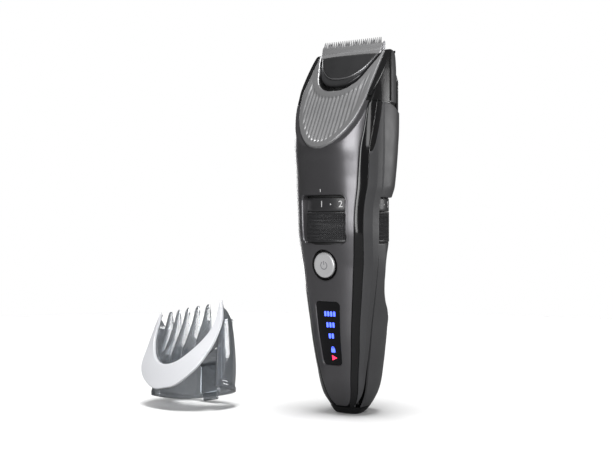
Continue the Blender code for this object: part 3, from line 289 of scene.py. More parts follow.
def rim(name, pts, profile, mat, place=front_point, **kw):
    """Ring swept along an outline on a surface; profile is a closed loop of (distance outside, depth)."""
    nrm = normals_of(pts)
    m = len(profile)
    verts, faces = [], []
    for (x, z), (nx, nz) in zip(pts, nrm):
        for d, h in profile:
            verts.append(tuple(place(x + nx * d, z + nz * d, h)))
    n = len(pts)
    for i in range(n):
        for j in range(m):
            a, b = i * m + j, i * m + (j + 1) % m
            c, d = ((i + 1) % n) * m + (j + 1) % m, ((i + 1) % n) * m + j
            faces.append((a, b, c, d))
    return obj_from(name, verts, faces, mat, **kw)


def turned(name, profile, mat, centre=(0, 0, 0), axis=(0, 0, 1), seg=96, closed=True, **kw):
    """Turned piece: profile (radius, height) spun round an axis."""
    rot = Vector((0, 0, 1)).rotation_difference(Vector(axis).normalized()).to_matrix()
    verts, faces = [], []
    m = len(profile)
    for i in range(seg):
        a = 2 * math.pi * i / seg
        for r, h in profile:
            p = rot @ Vector((r * math.cos(a), r * math.sin(a), h))
            verts.append((p.x + centre[0], p.y + centre[1], p.z + centre[2]))
    for i in range(seg):
        for j in range(m if closed else m - 1):
            a, b = i * m + j, i * m + (j + 1) % m
            c, d = ((i + 1) % seg) * m + (j + 1) % m, ((i + 1) % seg) * m + j
            faces.append((a, b, c, d))
    return obj_from(name, verts, faces, mat, weld=0.001, **kw)


def extruded(name, outline, mapper, d0, d1, mat, bevel=0.0, **kw):
    """Flat outline given thickness; mapper turns (a, b, depth) into a point."""
    n = len(outline)
    verts = [mapper(a, b, d0) for a, b in outline] + [mapper(a, b, d1) for a, b in outline]
    faces = [tuple(range(n)), tuple(reversed(range(n, 2 * n)))]
    faces += [(i, (i + 1) % n, n + (i + 1) % n, n + i) for i in range(n)]
    ob = obj_from(name, verts, faces, mat, **kw)
    if bevel:
        b = ob.modifiers.new("soft", 'BEVEL')
        b.width = bevel * MM
        b.segments = 2
        b.limit_method = 'ANGLE'
        b.angle_limit = math.radians(40)
    return ob


def block(name, lo, hi, mat, bevel=0.3, **kw):
    o = [(lo[0], lo[1]), (hi[0], lo[1]), (hi[0], hi[1]), (lo[0], hi[1])]
    return extruded(name, o, lambda a, b, d: (a, b, d), lo[2], hi[2], mat, bevel, **kw)


def lin(a, b, n):
    return [a + (b - a) * i / (n - 1) for i in range(n)]


# ------------------------------------------------------------------ materials
def mat(name, color, rough, metal=0.0, coat=0.0, coat_rough=0.05, spec=0.5, ior=1.5, trans=0.0, alpha=1.0,
        grain=0.0, grain_scale=2500.0, mottle=0.0, mottle_scale=60.0, rough_var=0.0, bump=0.0, bump_scale=1500.0,
        aniso=0.0, brushed=None, wear_and_edge_highlight=0.0, emit=None, emit_strength=0.0, fine=0.0):
    """Principled material with procedural colour, roughness and bump detail; convex edges can be lightened, part wear
    and part painted highlight.
    """
    m = bpy.data.materials.new(name)
    m.use_nodes = True
    nt = m.node_tree
    b = nt.nodes["Principled BSDF"]
    b.inputs["Base Color"].default_value = (*color, 1)
    b.inputs["Roughness"].default_value = rough
    b.inputs["Metallic"].default_value = metal
    b.inputs["Coat Weight"].default_value = coat
    b.inputs["Coat Roughness"].default_value = coat_rough
    b.inputs["Specular IOR Level"].default_value = spec
    b.inputs["IOR"].default_value = ior
    b.inputs["Transmission Weight"].default_value = trans
    b.inputs["Alpha"].default_value = alpha
    b.inputs["Anisotropic"].default_value = aniso
    if emit:
        b.inputs["Emission Color"].default_value = (*emit, 1)
        b.inputs["Emission Strength"].default_value = emit_strength
    tc = nt.nodes.new("ShaderNodeTexCoord")
    mapping = nt.nodes.new("ShaderNodeMapping")
    nt.links.new(tc.outputs["Object"], mapping.inputs["Vector"])
    if brushed:
        mapping.inputs["Scale"].default_value = brushed

    def noise(scale, detail=3.0, rough_=0.5):
        n = nt.nodes.new("ShaderNodeTexNoise")
        n.inputs["Scale"].default_value = scale
        n.inputs["Detail"].default_value = detail
        n.inputs["Roughness"].default_value = rough_
        nt.links.new(mapping.outputs["Vector"], n.inputs["Vector"])
        return n
    last = None
    if mottle or grain or wear_and_edge_highlight:
        n = noise(mottle_scale, 4.0)
        ramp = nt.nodes.new("ShaderNodeMapRange")
        ramp.inputs["From Min"].default_value = 0.3
        ramp.inputs["From Max"].default_value = 0.7
        ramp.inputs["To Min"].default_value = 1.0 - mottle
        ramp.inputs["To Max"].default_value = 1.0 + mottle
        nt.links.new(n.outputs["Fac"], ramp.inputs["Value"])
        mul = nt.nodes.new("ShaderNodeMix")
        mul.data_type = 'RGBA'
        mul.blend_type = 'MULTIPLY'
        mul.inputs["Factor"].default_value = 1.0
        mul.inputs["A"].default_value = (*color, 1)
        nt.links.new(ramp.outputs["Result"], mul.inputs["B"])
        last = mul.outputs["Result"]
        if grain:
            g = noise(grain_scale, 2.0, 0.7)
            r2 = nt.nodes.new("ShaderNodeMapRange")
            r2.inputs["From Min"].default_value = 0.35
            r2.inputs["From Max"].default_value = 0.65
            r2.inputs["To Min"].default_value = 1.0 - grain
            r2.inputs["To Max"].default_value = 1.0 + grain
            nt.links.new(g.outputs["Fac"], r2.inputs["Value"])
            m2 = nt.nodes.new("ShaderNodeMix")
            m2.data_type = 'RGBA'
            m2.blend_type = 'MULTIPLY'
            m2.inputs["Factor"].default_value = 1.0
            nt.links.new(last, m2.inputs["A"])
            nt.links.new(r2.outputs["Result"], m2.inputs["B"])
            last = m2.outputs["Result"]
        # Lighter colour on convex edges and ridges, by pointiness: part edge wear, part painted highlight.
        if wear_and_edge_highlight:
            geo = nt.nodes.new("ShaderNodeNewGeometry")
            r3 = nt.nodes.new("ShaderNodeMapRange")
            r3.inputs["From Min"].default_value = 0.52
            r3.inputs["From Max"].default_value = 0.62
            r3.inputs["To Min"].default_value = 0.0
            r3.inputs["To Max"].default_value = wear_and_edge_highlight
            nt.links.new(geo.outputs["Pointiness"], r3.inputs["Value"])
            m3 = nt.nodes.new("ShaderNodeMix")
            m3.data_type = 'RGBA'
            m3.blend_type = 'MIX'
            nt.links.new(r3.outputs["Result"], m3.inputs["Factor"])
            nt.links.new(last, m3.inputs["A"])
            m3.inputs["B"].default_value = (*[min(1.0, c * 2.2 + 0.06) for c in color], 1)
            last = m3.outputs["Result"]
        nt.links.new(last, b.inputs["Base Color"])
    if rough_var:
        n = noise(mottle_scale * 2.3, 5.0)
        r = nt.nodes.new("ShaderNodeMapRange")
        r.inputs["To Min"].default_value = max(0.02, rough - rough_var)
        r.inputs["To Max"].default_value = min(1.0, rough + rough_var)
        r.inputs["From Min"].default_value = 0.3
        r.inputs["From Max"].default_value = 0.7
        nt.links.new(n.outputs["Fac"], r.inputs["Value"])
        nt.links.new(r.outputs["Result"], b.inputs["Roughness"])
    if bump:
        n = noise(bump_scale, 4.0, 0.6)
        bp = nt.nodes.new("ShaderNodeBump")
        bp.inputs["Strength"].default_value = bump
        bp.inputs["Distance"].default_value = 0.00003
        nt.links.new(n.outputs["Fac"], bp.inputs["Height"])
        nt.links.new(bp.outputs["Normal"], b.inputs["Normal"])
    return m


M = {
    "panel": mat("panel_lacquer", (0.155, 0.152, 0.160), 0.35, 0.80, 0.15, 0.12, grain=0.06, grain_scale=5200, mottle=0.03,
                 rough_var=0.02, bump=0.05, bump_scale=4200),
    "gloss": mat("strip_gloss_black", (0.006, 0.006, 0.0065), 0.12, 0.0, 0.35, 0.04, mottle=0.05, rough_var=0.02, bump=0.03,
                 bump_scale=900),
    "grip": mat("grip_satin_grey", (0.062, 0.062, 0.065), 0.42, 0.10, grain=0.10, grain_scale=5200, mottle=0.04, rough_var=0.04,
                bump=0.35, bump_scale=5200, wear_and_edge_highlight=0.12),
    "slide": mat("slide_satin_grey", (0.075, 0.075, 0.078), 0.40, 0.12, grain=0.10, grain_scale=5200, mottle=0.04, rough_var=0.04,
                 bump=0.30, bump_scale=5200, wear_and_edge_highlight=0.14),
    "head": mat("head_satin_black", (0.010, 0.010, 0.0105), 0.24, 0.0, spec=0.3, grain=0.08, grain_scale=5200, mottle=0.05, rough_var=0.03,
                bump=0.04, bump_scale=5200, wear_and_edge_highlight=0.04),
    "head_grey": mat("head_rear_grey", (0.075, 0.075, 0.078), 0.38, 0.12, grain=0.08, grain_scale=5200, mottle=0.04,
                     rough_var=0.03, bump=0.25, bump_scale=5200, wear_and_edge_highlight=0.10),
    "dark": mat("deep_black", (0.006, 0.006, 0.006), 0.6, grain=0.1, grain_scale=2500, mottle=0.1, bump=0.2),
    "collar": mat("collar_silver", (0.30, 0.30, 0.305), 0.38, 0.55, 0.1, 0.25, grain=0.05, grain_scale=6000, mottle=0.03,
                  rough_var=0.03, bump=0.06, bump_scale=4000, wear_and_edge_highlight=0.25),
    "cover": mat("cover_matte_black", (0.016, 0.016, 0.017), 0.48, grain=0.12, grain_scale=6000, mottle=0.05, rough_var=0.04,
                 bump=0.35, bump_scale=5600),
    "lip": mat("lip_satin_black", (0.035, 0.035, 0.037), 0.28, 0.3, 0.3, 0.1, grain=0.06, mottle=0.04, bump=0.08),
    # bright silver for the cover's chamfered edge: a painted highlight of that edge
    "cover_edge_highlight": mat("cover_edge_painted_highlight", (0.42, 0.42, 0.43), 0.28, 0.9, grain=0.05, mottle=0.04, rough_var=0.03, bump=0.05),
    "steel": mat("blade_ground_steel", (0.60, 0.60, 0.61), 0.28, 0.72, grain=0.08, grain_scale=900, mottle=0.05, rough_var=0.06,
                 bump=0.10, bump_scale=700, aniso=0.5, brushed=(1.0, 1.0, 14.0), wear_and_edge_highlight=0.2),
    "steel2": mat("cutter_ground_steel", (0.50, 0.50, 0.52), 0.30, 1.0, grain=0.08, grain_scale=900, mottle=0.05, rough_var=0.06,
                  bump=0.10, bump_scale=700, brushed=(14.0, 1.0, 1.0)),
    # The dial's strong edge lightening paints highlights on the knurl's peaks.
    "dial": mat("dial_soft_black", (0.028, 0.028, 0.030), 0.30, 0.15, grain=0.08, grain_scale=5200, mottle=0.05, rough_var=0.04,
                bump=0.10, bump_scale=5200, wear_and_edge_highlight=0.6),
    "dial_band": mat("dial_number_band", (0.040, 0.040, 0.042), 0.34, 0.15, grain=0.06, mottle=0.04, bump=0.10),
    "print": mat("white_print", (0.80, 0.80, 0.80), 0.45, grain=0.04, mottle=0.02, bump=0.05),
    "button": mat("button_satin_silver", (0.78, 0.78, 0.79), 0.30, 0.45, 0.15, 0.2, grain=0.05, grain_scale=6000, mottle=0.02,
                  rough_var=0.03, bump=0.08, bump_scale=5000, wear_and_edge_highlight=0.15),
    "icon": mat("button_icon_grey", (0.30, 0.30, 0.32), 0.35, 0.3, grain=0.05, mottle=0.03, bump=0.05),
    "lens": mat("display_smoked_lens", (0.003, 0.003, 0.004), 0.06, 0.0, 0.1, 0.03, spec=0.3, mottle=0.05, rough_var=0.01, bump=0.02,
                bump_scale=300),
    "blue": mat("lamp_blue", (0.05, 0.08, 0.6), 0.4, emit=(0.07, 0.12, 1.0), emit_strength=3.0, mottle=0.04),
    "red": mat("lamp_red", (0.6, 0.02, 0.05), 0.4, emit=(1.0, 0.03, 0.10), emit_strength=2.2, mottle=0.04),
    "rubber": mat("rubber_black", (0.022, 0.022, 0.022), 0.7, grain=0.12, grain_scale=3000, mottle=0.08, bump=0.4, bump_scale=2500),
    "comb_band": mat("comb_pale_silver", (0.80, 0.81, 0.84), 0.30, 0.15, 0.3, 0.12, grain=0.03, grain_scale=6000, mottle=0.015,
                     rough_var=0.03, bump=0.05, bump_scale=4000),
    "smoke": mat("comb_smoky_clear", (0.50, 0.525, 0.555), 0.07, 0.0, 0.0, 0.05, ior=1.49, trans=0.86, mottle=0.03, rough_var=0.02,
                 bump=0.03, bump_scale=350),
    "brass": mat("contact_plated", (0.72, 0.58, 0.30), 0.28, 1.0, grain=0.05, mottle=0.05, rough_var=0.05, bump=0.08),
    "green": mat("board_mask", (0.015, 0.12, 0.045), 0.35, grain=0.10, grain_scale=900, mottle=0.10, rough_var=0.05, bump=0.2),
    "cell": mat("cell_sleeve", (0.07, 0.16, 0.26), 0.32, 0.1, grain=0.04, mottle=0.05, rough_var=0.05, bump=0.1),
    "inner": mat("moulded_grey", (0.30, 0.30, 0.31), 0.5, grain=0.06, mottle=0.05, rough_var=0.05, bump=0.25),
    "iron": mat("core_laminated", (0.24, 0.24, 0.26), 0.42, 0.9, grain=0.10, grain_scale=1200, mottle=0.08, bump=0.4,
                bump_scale=900, brushed=(1.0, 16.0, 1.0)),
    "copper": mat("coil_enamel", (0.55, 0.22, 0.08), 0.32, 0.9, grain=0.10, mottle=0.08, bump=0.6, bump_scale=1300,
                  brushed=(1.0, 1.0, 10.0)),
    "spring": mat("spring_bright", (0.58, 0.58, 0.6), 0.24, 1.0, grain=0.05, mottle=0.05, rough_var=0.05, bump=0.08),
}
SLOT_LOOK = {"panel_gloss": "panel", "black_gloss": "gloss", "grip_grey": "grip", "black_satin": "head", "collar_silver": "collar",
             "dial_black": "dial", "button_silver": "button", "lens_black": "lens", "light_pipe": "smoke", "blade_steel": "steel",
             "spring_steel": "spring", "contact_brass": "brass", "board_green": "green", "cell_wrap": "cell",
             "inner_plastic": "inner", "rubber_black": "rubber", "core_iron": "iron", "coil_copper": "copper",
             "magnet_plate": "spring", "comb_smoke": "smoke", "comb_silver": "comb_band"}
for sp in frame["record"]["subparts"]:
    o = frame["nodes"].get(sp["node"])
    if o is None:
        continue
    o.data.materials.clear()
    o.data.materials.append(M[SLOT_LOOK[sp["material_slot"]]])

# ------------------------------------------------------------------ front panel
P_T = 1.15


def cols_between(z, a, b, n, r=0.3):
    """Angles from a to b, with extra ones close to both ends for the rounded edges."""
    ea = [a, a + arc(z, a, 0.05), a + arc(z, a, 0.14), a + arc(z, a, r)]
    eb = [b - arc(z, b, r), b - arc(z, b, 0.14), b - arc(z, b, 0.05), b]
    return ea + lin(ea[-1], eb[0], n)[1:-1] + eb, [0.0, 0.05, 0.14, r] + [9.0] * (n - 2) + [r, 0.14, 0.05, 0.0]


zs = [3.6, 3.65, 3.75, 3.95] + lin(4.4, 77.0, 120) + lin(77.6, 103.0, 50) + lin(103.8, 121.5, 24) + lin(122.0, 143.85, 60)
grid, grid_in = [], []
for z in zs:
    e = smooth_at(PANEL_EDGE, z)
    # the lower corners of the panel are rounded
    if z < 7.0:
        e *= 1.0 - 0.42 * ((7.0 - z) / 3.4) ** 2.6
    cols, dist = cols_between(z, -e, e, 60)
    row, row_in = [], []
    for p, d in zip(cols, dist):
        off = edge_round(min(d, z - 3.6), 0.3)
        x, y, zz = surf(z, p, off)
        y = max(y, slant_y(x, z, 1.0))
        row.append((x, y, zz))
        x, y, zz = surf(z, p, P_T)
        row_in.append((x, max(y, slant_y(x, z, 1.9)), zz))
    grid.append(row)
    grid_in.append(row_in)


def in_round_rect(x, z, hx, z0, z1, r, hx_top=None):
    t = (z - z0) / (z1 - z0)
    h = hx if hx_top is None else hx + (hx_top - hx) * t
    dx, dz = abs(x) - (h - r), abs(z - (z0 + z1) / 2) - ((z1 - z0) / 2 - r)
    return math.hypot(max(dx, 0), max(dz, 0)) + min(max(dx, dz), 0) < r


def panel_hole(x, y, z):
    if y > 0:
        return False
    if in_round_rect(x, z, WIN[0] + 0.45, WIN[1] - 0.45, WIN[2] + 0.45, WIN[3]):
        return True
    if math.hypot(x, z - BTN_Z) < 6.95 + 0.45:
        return True
    return in_round_rect(x, z, 5.4 + 0.45, 23.1 - 0.45, 52.5 + 0.45, 1.9, 6.9 + 0.45)


shell("front_panel_skin", grid, grid_in, M["panel"], panel_hole, smooth=40, node="front_panel")
RIM = [(1.15, -0.012), (0.75, -0.012), (0.50, 0.0), (0.32, 0.05), (0.18, 0.14), (0.07, 0.28), (0.01, 0.46), (0.0, 0.70), (0.0, 2.2),
       (0.55, 2.2), (0.9, 0.5), (1.15, 0.08)]
rim("dial_window_rim", rounded_rect(WIN[0], WIN[1], WIN[2], WIN[3]),
    [(1.75, -0.012), (1.25, -0.012), (0.90, 0.02), (0.62, 0.10), (0.36, 0.26), (0.15, 0.50), (0.03, 0.80), (0.0, 1.15), (0.0, 3.2),
     (0.55, 3.2), (1.1, 1.1), (1.7, 0.1)], M["panel"], smooth=50)
rim("button_rim", [(6.95 * math.cos(2 * math.pi * i / 72), BTN_Z + 6.95 * math.sin(2 * math.pi * i / 72)) for i in range(72)],
    RIM, M["panel"], smooth=50)
rim("display_rim", rounded_rect(5.4, 23.1, 52.5, 1.9, hx_top=6.9), RIM, M["panel"], smooth=50)

# ------------------------------------------------------------------ gloss black strip beside the panel, and the shell under it
ARCH = [(60.0, 121.0), (66.0, 124.5), (70.0, 130.0), (74.0, 135.5), (79.0, 140.2), (84.0, 142.6), (90.0, 143.5)]
for side, nm in ((1, "right"), (-1, "left")):
    grid, inn = [], []
    for z in [3.25, 3.3, 3.4, 3.6] + lin(4.2, 143.85, 190):
        e = smooth_at(PANEL_EDGE, z)
        s = smooth_at(STRIP_EDGE, z) - arc(z, smooth_at(STRIP_EDGE, z), 0.10)
        while z > 120 and e < s - 4.0 and surf(z, e)[1] < slant_y(surf(z, e)[0], z, 0.9):
            e += 0.4
        a = e + arc(z, e, 0.13)
        cols = [e - arc(z, e, 1.4), a, a + arc(z, a, 0.02), a + arc(z, a, 0.09), a + arc(z, a, 0.22)]
        offs = [1.35, 1.35, 0.30, 0.12, 0.03]
        more = lin(cols[-1], s - arc(z, s, 0.35), 9)[1:]
        cols += more + [s - arc(z, s, 0.14), s - arc(z, s, 0.04), s]
        offs += [0.0] * 8 + [0.06, 0.14, 0.32]
        ro, ri = [], []
        for p, o in zip(cols, offs):
            x, y, zz = surf(z, side * p, (o if side > 0 else o) * 1.0)
            y = max(y, slant_y(x, z, 1.25))
            ro.append((x, y, zz))
            x, y, zz = surf(z, side * p, 1.9)
            ri.append((x, max(y, slant_y(x, z, 2.3)), zz))
        grid.append(ro)
        inn.append(ri)
    solid_grid("gloss_strip_" + nm, grid, inn, M["gloss"], smooth=40, node="front_case")


# ------------------------------------------------------------------ rear case: grip, creases, finger waist and side wings
def crease(z, p):
    """Raised line down the side and the edge of the finger hollow, as a small outward offset."""
    q = min(p, 360.0 - p)
    o = 0.0
    if z < 128:
        c = smooth_at([(0, 60.0), (20, 66.0), (45, 70.0), (80, 73.0), (128, 78.0)], z)
        a = smooth_at([(0, 0.0), (8, 0.15), (30, 0.45), (60, 0.55), (100, 0.35), (128, 0.0)], z)
        o -= a * math.exp(-abs(q - c) / 7.0)
    h = smooth_at([(36, 150.0), (44, 128.0), (52, 112.0), (60, 104.0), (70, 102.0), (79, 110.0)], z)
    a = smooth_at([(36, 0.0), (44, 0.25), (52, 0.5), (62, 0.55), (72, 0.3), (79, 0.0)], z)
    if 36 < z < 79:
        o -= a * math.exp(-abs(q - h) / 8.0)
    return o


def rear_grid(side):
    rows, rin = [], []
    ts = lin(0, 1, 190)
    for t in ts:
        row, ri = [], []
        qs = None
        for k in range(46):
            # angle grid between the strip and the slide's edge, then round to the back
            s_ref = k / 45
            z_top = 0.0
            q = None
            # the wing reaches up to the arch
            zt = smooth_at(ARCH, 55 + 29 * s_ref)
            z = 3.25 + (zt - 3.25) * t
            a = smooth_at(STRIP_EDGE, z)
            a += arc(z, a, 0.10)
            p = a + (math.degrees(math.acos((3.75 / section(z)[1]) ** (section(z)[3] / 2))) - a) * s_ref
            d_edge = min(s_ref * (83.4 - a) / arc(z, a, 1.0), 1.0)
            o = edge_round(min(d_edge, (zt - z), z - 3.25), 0.3)
            w = 1.0 if s_ref > 0.02 else 0.0
            x, y, zz = surf(z, side * p, (crease(z, p) * w + o))
            row.append((x, y, zz))
            x, y, zz = surf(z, side * p, 1.2)
            ri.append((x, y, zz))
        rows.append(row)
        rin.append(ri)
    return rows, rin


for side, nm in ((1, "right"), (-1, "left")):
    g, i = rear_grid(side)
    solid_grid("rear_case_side_" + nm, g, i, M["grip"], smooth=40, node="rear_case")

cols = lin(83.4, 276.6, 130)
zs = [3.25, 3.35, 3.6] + lin(4.2, 78.5, 150) + [78.9, 79.1, 79.2]
g, i = [], []
for z in zs:
    o = edge_round(79.2 - z, 0.3) + edge_round(z - 3.25, 0.3)
    g.append([surf(z, p, crease(z, p) + o) for p in cols])
    i.append([surf(z, p, 1.2) for p in cols])
solid_grid("rear_case_grip", g, i, M["grip"], smooth=40, node="rear_case")
# ledge over the dial and the bay behind the thumb slide
zs = [101.3, 101.4] + lin(102.0, 143.7, 40)
solid_grid("slide_bay", [[surf(z, p, 0.0, core_sec(z)) for p in lin(82.6, 277.4, 90)] for z in zs],
           [[surf(z, p, 0.9, core_sec(z)) for p in lin(82.6, 277.4, 90)] for z in zs], M["dark"], smooth=40)

# ------------------------------------------------------------------ head: black front and sides, grey back, slots
YS0, YS1 = 2.9, 4.7


def phi_of_y(y, r, n):
    return 180.0 - math.degrees(math.acos(min(1.0, (y / r) ** (n / 2.0))))


S0, S1 = phi_of_y(YS0, 17.5, 2.9), phi_of_y(YS1, 17.5, 2.9)
half = lin(0.0, 60.0, 40) + lin(61.0, 83.0, 26) + [83.19, 83.21] + lin(83.6, S0 - 1.0, 20) + [S0 - 0.45, S0 - 0.15, S0, S0 + 0.02] + lin(S0 + 0.3, S1 - 0.3, 6) + \
    [S1 - 0.02, S1, S1 + 0.15, S1 + 0.45] + lin(S1 + 1.2, 180.0, 60)
cols = half + [360.0 - p for p in reversed(half[1:-1])]
zs = lin(121.3, 143.4, 50) + [143.8, 144.0, 144.1, 144.3, 144.45, 144.55, 144.6] + lin(145.0, 163.6, 44) + [163.95, 164.0, 164.1, 164.4, 165.2, 166.1] + \
    lin(166.8, 168.0, 6) + [168.25, 168.42, 168.53, 168.6]


def head_pt(z, p, extra=0.0):
    q = min(p, 360.0 - p)
    e = smooth_at(PANEL_EDGE, min(z, 150.0))
    off = extra
    if z < 144.05:
        if q > 83.0:
            x, y, _ = surf(z, p, extra, core_sec(z))
        else:
            s = smooth_at(STRIP_EDGE, z)
            inside = 1.6 if q < s - arc(z, s, 0.10) and z < 143.86 else 0.10
            x, y, _ = surf(z, p, off + inside)
    else:
        in_slot = S0 + 0.01 < q < S1 - 0.01 and 144.57 < z < 163.97
        e1 = abs(q - S0) if q < S0 + 0.005 else (abs(q - S1) if q > S1 - 0.005 else 9)
        off += 1.35 if in_slot else 0.0
        if not in_slot and 144.3 < z < 164.3 and e1 < 0.5:
            off += 0.16 * (1 - e1 / 0.5) ** 2
        sec = section(z)
        if q < 83.2 and z < 154.0:
            # the black side runs on from the case and narrows to the head
            t = (z - 144.0) / 10.0
            t = t * t * (3 - 2 * t)
            low = section(143.8)
            sec = [low[n] * (1 - t) + sec[n] * t for n in range(3)] + sec[3:]
            off += 0.10 * (1 - t)
        x, y, _ = surf(z, p, off, sec)
    y = max(y, slant_y(x, z, 1.35 + extra))
    return (x, y, z)


def head_drop(x, y, z):
    if z < 148.9 or y > 11.4:
        return False
    return abs(x) < smooth_at(SCOOP, z) + 0.25 and z > 149.4


def head_mat(x, y, z):
    if abs(x) > 17 and YS0 < y < YS1 and 144.5 < z < 164.0:
        return 2
    return 1 if (y > YS1 and z > 143.9) else 0


g = [[head_pt(z, p) for p in cols] for z in zs]
i = [[head_pt(z, p, 1.9) for p in cols] for z in zs]
head = shell("head_shell", g, i, M["head"], head_drop, head_mat, [M["head"], M["head_grey"], M["dark"]], closed=True,
             smooth=38, node="head_housing")
# top plate behind the blades
top = []
for k in range(13):
    x = -20.6 + 41.2 * k / 12
    top.append(x)
tp = [(x, 11.4) for x in lin(-20.3, 20.3, 20)]
arc_pts = [surf(168.6, p)[:2] for p in lin(116.0, 244.0, 44)]
outline = [(x * 0.995, y * 0.995) for x, y in arc_pts]
outline = [(x, max(y, 11.3)) for x, y in outline]
extruded("head_top", outline, lambda a, b, d: (a, b, d), 168.58, 167.4, M["head_grey"], 0.0, smooth=30)
# ledges that close the front edge of the head beside the scoop
for side in (1, -1):
    a, b = [], []
    for z in lin(146.2, 168.4, 40):
        xo = surf(z, 90.0)[0]
        # outer limit where the side meets the slanted face
        sl = None
        for q in lin(56.0, 140.0, 169):
            x, y, _ = surf(z, q)
            sl = (x, y)
            if y >= slant_y(x, z, 0.55):
                break
        x_in = smooth_at(COLLAR_HALF, z) + 0.1
        ro, ri = [], []
        for t in (0.0, 0.06, 0.3, 0.6, 0.86, 0.96, 1.0):
            x = x_in + (sl[0] - x_in) * t
            y = slant_y(x, z, 0.55) + (0.12 if t in (0.0, 1.0) else 0.0)
            ro.append((side * x, y, z))
            ri.append((side * x, y + 1.4, z))
        a.append(ro)
        b.append(ri)
    solid_grid("head_ledge_%s" % ("right" if side > 0 else "left"), a, b, M["head"], smooth=35)

# ------------------------------------------------------------------ ribbed collar
RIB = 2.12


def collar_half(z):
    return smooth_at(COLLAR_HALF, z) if z > 133.0 else (max(0.0, z - 122.9) / 0.02654) ** 0.4525


OUT_EDGE = np.array([(sx * collar_half(zz), zz) for zz in [122.9 + 10.0 * (k / 60) ** 2 for k in range(61)] + lin(133.2, 176.0, 90)
                     for sx in (-1, 1)])


def collar_depth(x, z):
    """Height of the collar's surface: smooth rim, then ribs that fade in and out, with a rounded outer edge."""
    d_out = float(np.min(np.hypot(OUT_EDGE[:, 0] - x, OUT_EDGE[:, 1] - z)))
    # distance to the scoop's edge
    d_in = 9.0
    if z > 140:
        hs = smooth_at(SCOOP, z) if z > 149.4 else -1.0
        dz = float(np.min(np.hypot(SCOOP_ARR[:, 0] - x, SCOOP_ARR[:, 1] - z)))
        d_in = dz if (z <= 149.4 or abs(x) > hs) else -dz
    off = 0.70 * (1 - min(1.0, d_out / 0.5)) ** 2.2 + 0.40 * max(0.0, 1 - d_in / 0.5) ** 2
    # dished margin round the scoop
    fade = 1.0
    m_out = smooth_at([(0.0, 0.0), (2.0, 0.0), (3.7, 1.0), (40.0, 1.0)], max(0.0, d_out))
    m_in = smooth_at([(0.0, 0.0), (2.3, 0.0), (3.9, 1.0), (40.0, 1.0)], max(0.0, d_in))
    top = smooth_at([(120.0, 1.0), (160.0, 1.0), (166.0, 0.35), (170.0, 0.0)], z)
    fade = m_out * m_in * top
    u = (x / RIB) % 1.0
    rib = 0.5 - 0.5 * math.cos(2 * math.pi * u)
    rib = rib ** 0.75
    return off + fade * 0.55 * (1.0 - rib)


SCOOP_EDGE = []
for z in lin(149.4, 168.6, 60):
    hh = smooth_at(SCOOP, z)
    SCOOP_EDGE += [(hh, z), (-hh, z)]
SCOOP_EDGE += [(x, 149.4 + 0.4 * (x / 4.5) ** 2) for x in lin(-4.5, 4.5, 19)]
SCOOP_ARR = np.array(SCOOP_EDGE)
zs = [122.95, 123.0, 123.1, 123.25, 123.5] + lin(123.9, 149.1, 80) + [149.3, 149.4, 149.405, 149.42, 149.45, 149.5, 149.58, 149.7,
                                                                     149.85] + lin(150.1, 168.3, 64)
g, i = [], []
for z in zs:
    h = max(0.6, collar_half(z))
    hs = 0.04 if z <= 149.4 else max(0.04, 4.5 * math.sqrt((z - 149.4) / 0.4) if z < 149.8 else smooth_at(SCOOP, z))
    w = h - hs
    e = [min(v, w * f) for v, f in ((0.05, 0.02), (0.13, 0.05), (0.26, 0.1), (0.45, 0.16))]
    half = [hs, hs + e[0], hs + e[1], hs + e[2]] + lin(hs + e[3], h - e[3], 96) + [h - e[2], h - e[1], h - e[0], h]
    xs = [-v for v in reversed(half)] + half
    g.append([slant_point(x, z, collar_depth(x, z)) for x in xs])
    i.append([slant_point(x, z, 1.45) for x in xs])
nc = len(g[0])


keep_rows = sum(1 for z in zs if z <= 149.4)
lower = shell("collar_ribbed", g[:keep_rows], i[:keep_rows], M["collar"], smooth=45, node="head_collar")
half_n = nc // 2
for nm, c0, c1 in (("left", 0, half_n), ("right", half_n, nc)):
    shell("collar_ribbed_" + nm, [r[c0:c1] for r in g[keep_rows - 1:]], [r[c0:c1] for r in i[keep_rows - 1:]], M["collar"], smooth=45)


def scoop_pts(grow, top=168.4, n=40):
    """U outline as an open chain from the top left, round the bottom, to the top right."""
    zz = [149.4 + (top - 149.4) * (k / n) ** 2 for k in range(n + 1)]
    right = [(smooth_at(SCOOP, z) + grow, z) for z in zz[1:]]
    base = [(0.0, 149.4 - grow)]
    return [(-x, z) for x, z in reversed(right)] + base + right


def u_chain(table, grow, top, n=36):
    z0 = table[0][0]
    zz = [z0 + (top - z0) * (k / n) ** 2 for k in range(n + 1)]
    right = [(smooth_at(table, z) + grow, z) for z in zz[1:]]
    return [(-x, z) for x, z in reversed(right)] + [(0.0, z0 - grow)] + right


def chain_sweep(name, chain, profile, m, body="blade_block", **kw):
    """Profile (distance outside the U, depth) swept along an open U on the slanted face."""
    n = len(chain)
    nr = []
    for k in range(n):
        a, b = chain[max(0, k - 1)], chain[min(n - 1, k + 1)]
        t = Vector((b[0] - a[0], b[1] - a[1])).normalized()
        nr.append((t.y, -t.x))
    verts, faces = [], []
    q = len(profile)
    for (x, z), (nx, nz) in zip(chain, nr):
        for d, h in profile:
            verts.append(slant_point(x + nx * d, z + nz * d, h))
    for k in range(n - 1):
        for j in range(q):
            faces.append((k * q + j, k * q + (j + 1) % q, (k + 1) * q + (j + 1) % q, (k + 1) * q + j))
    faces.append(tuple(range(q)))
    faces.append(tuple(reversed(range((n - 1) * q, n * q))))
    return obj_from(name, verts, faces, m, body=body, **kw)


# smooth wall of the scoop under the collar's edge
chain_sweep("scoop_wall", scoop_pts(0.0), [(0.0, 0.35), (0.0, 4.2), (0.8, 4.2), (0.8, 0.6)], M["dark"], body="root", smooth=40)

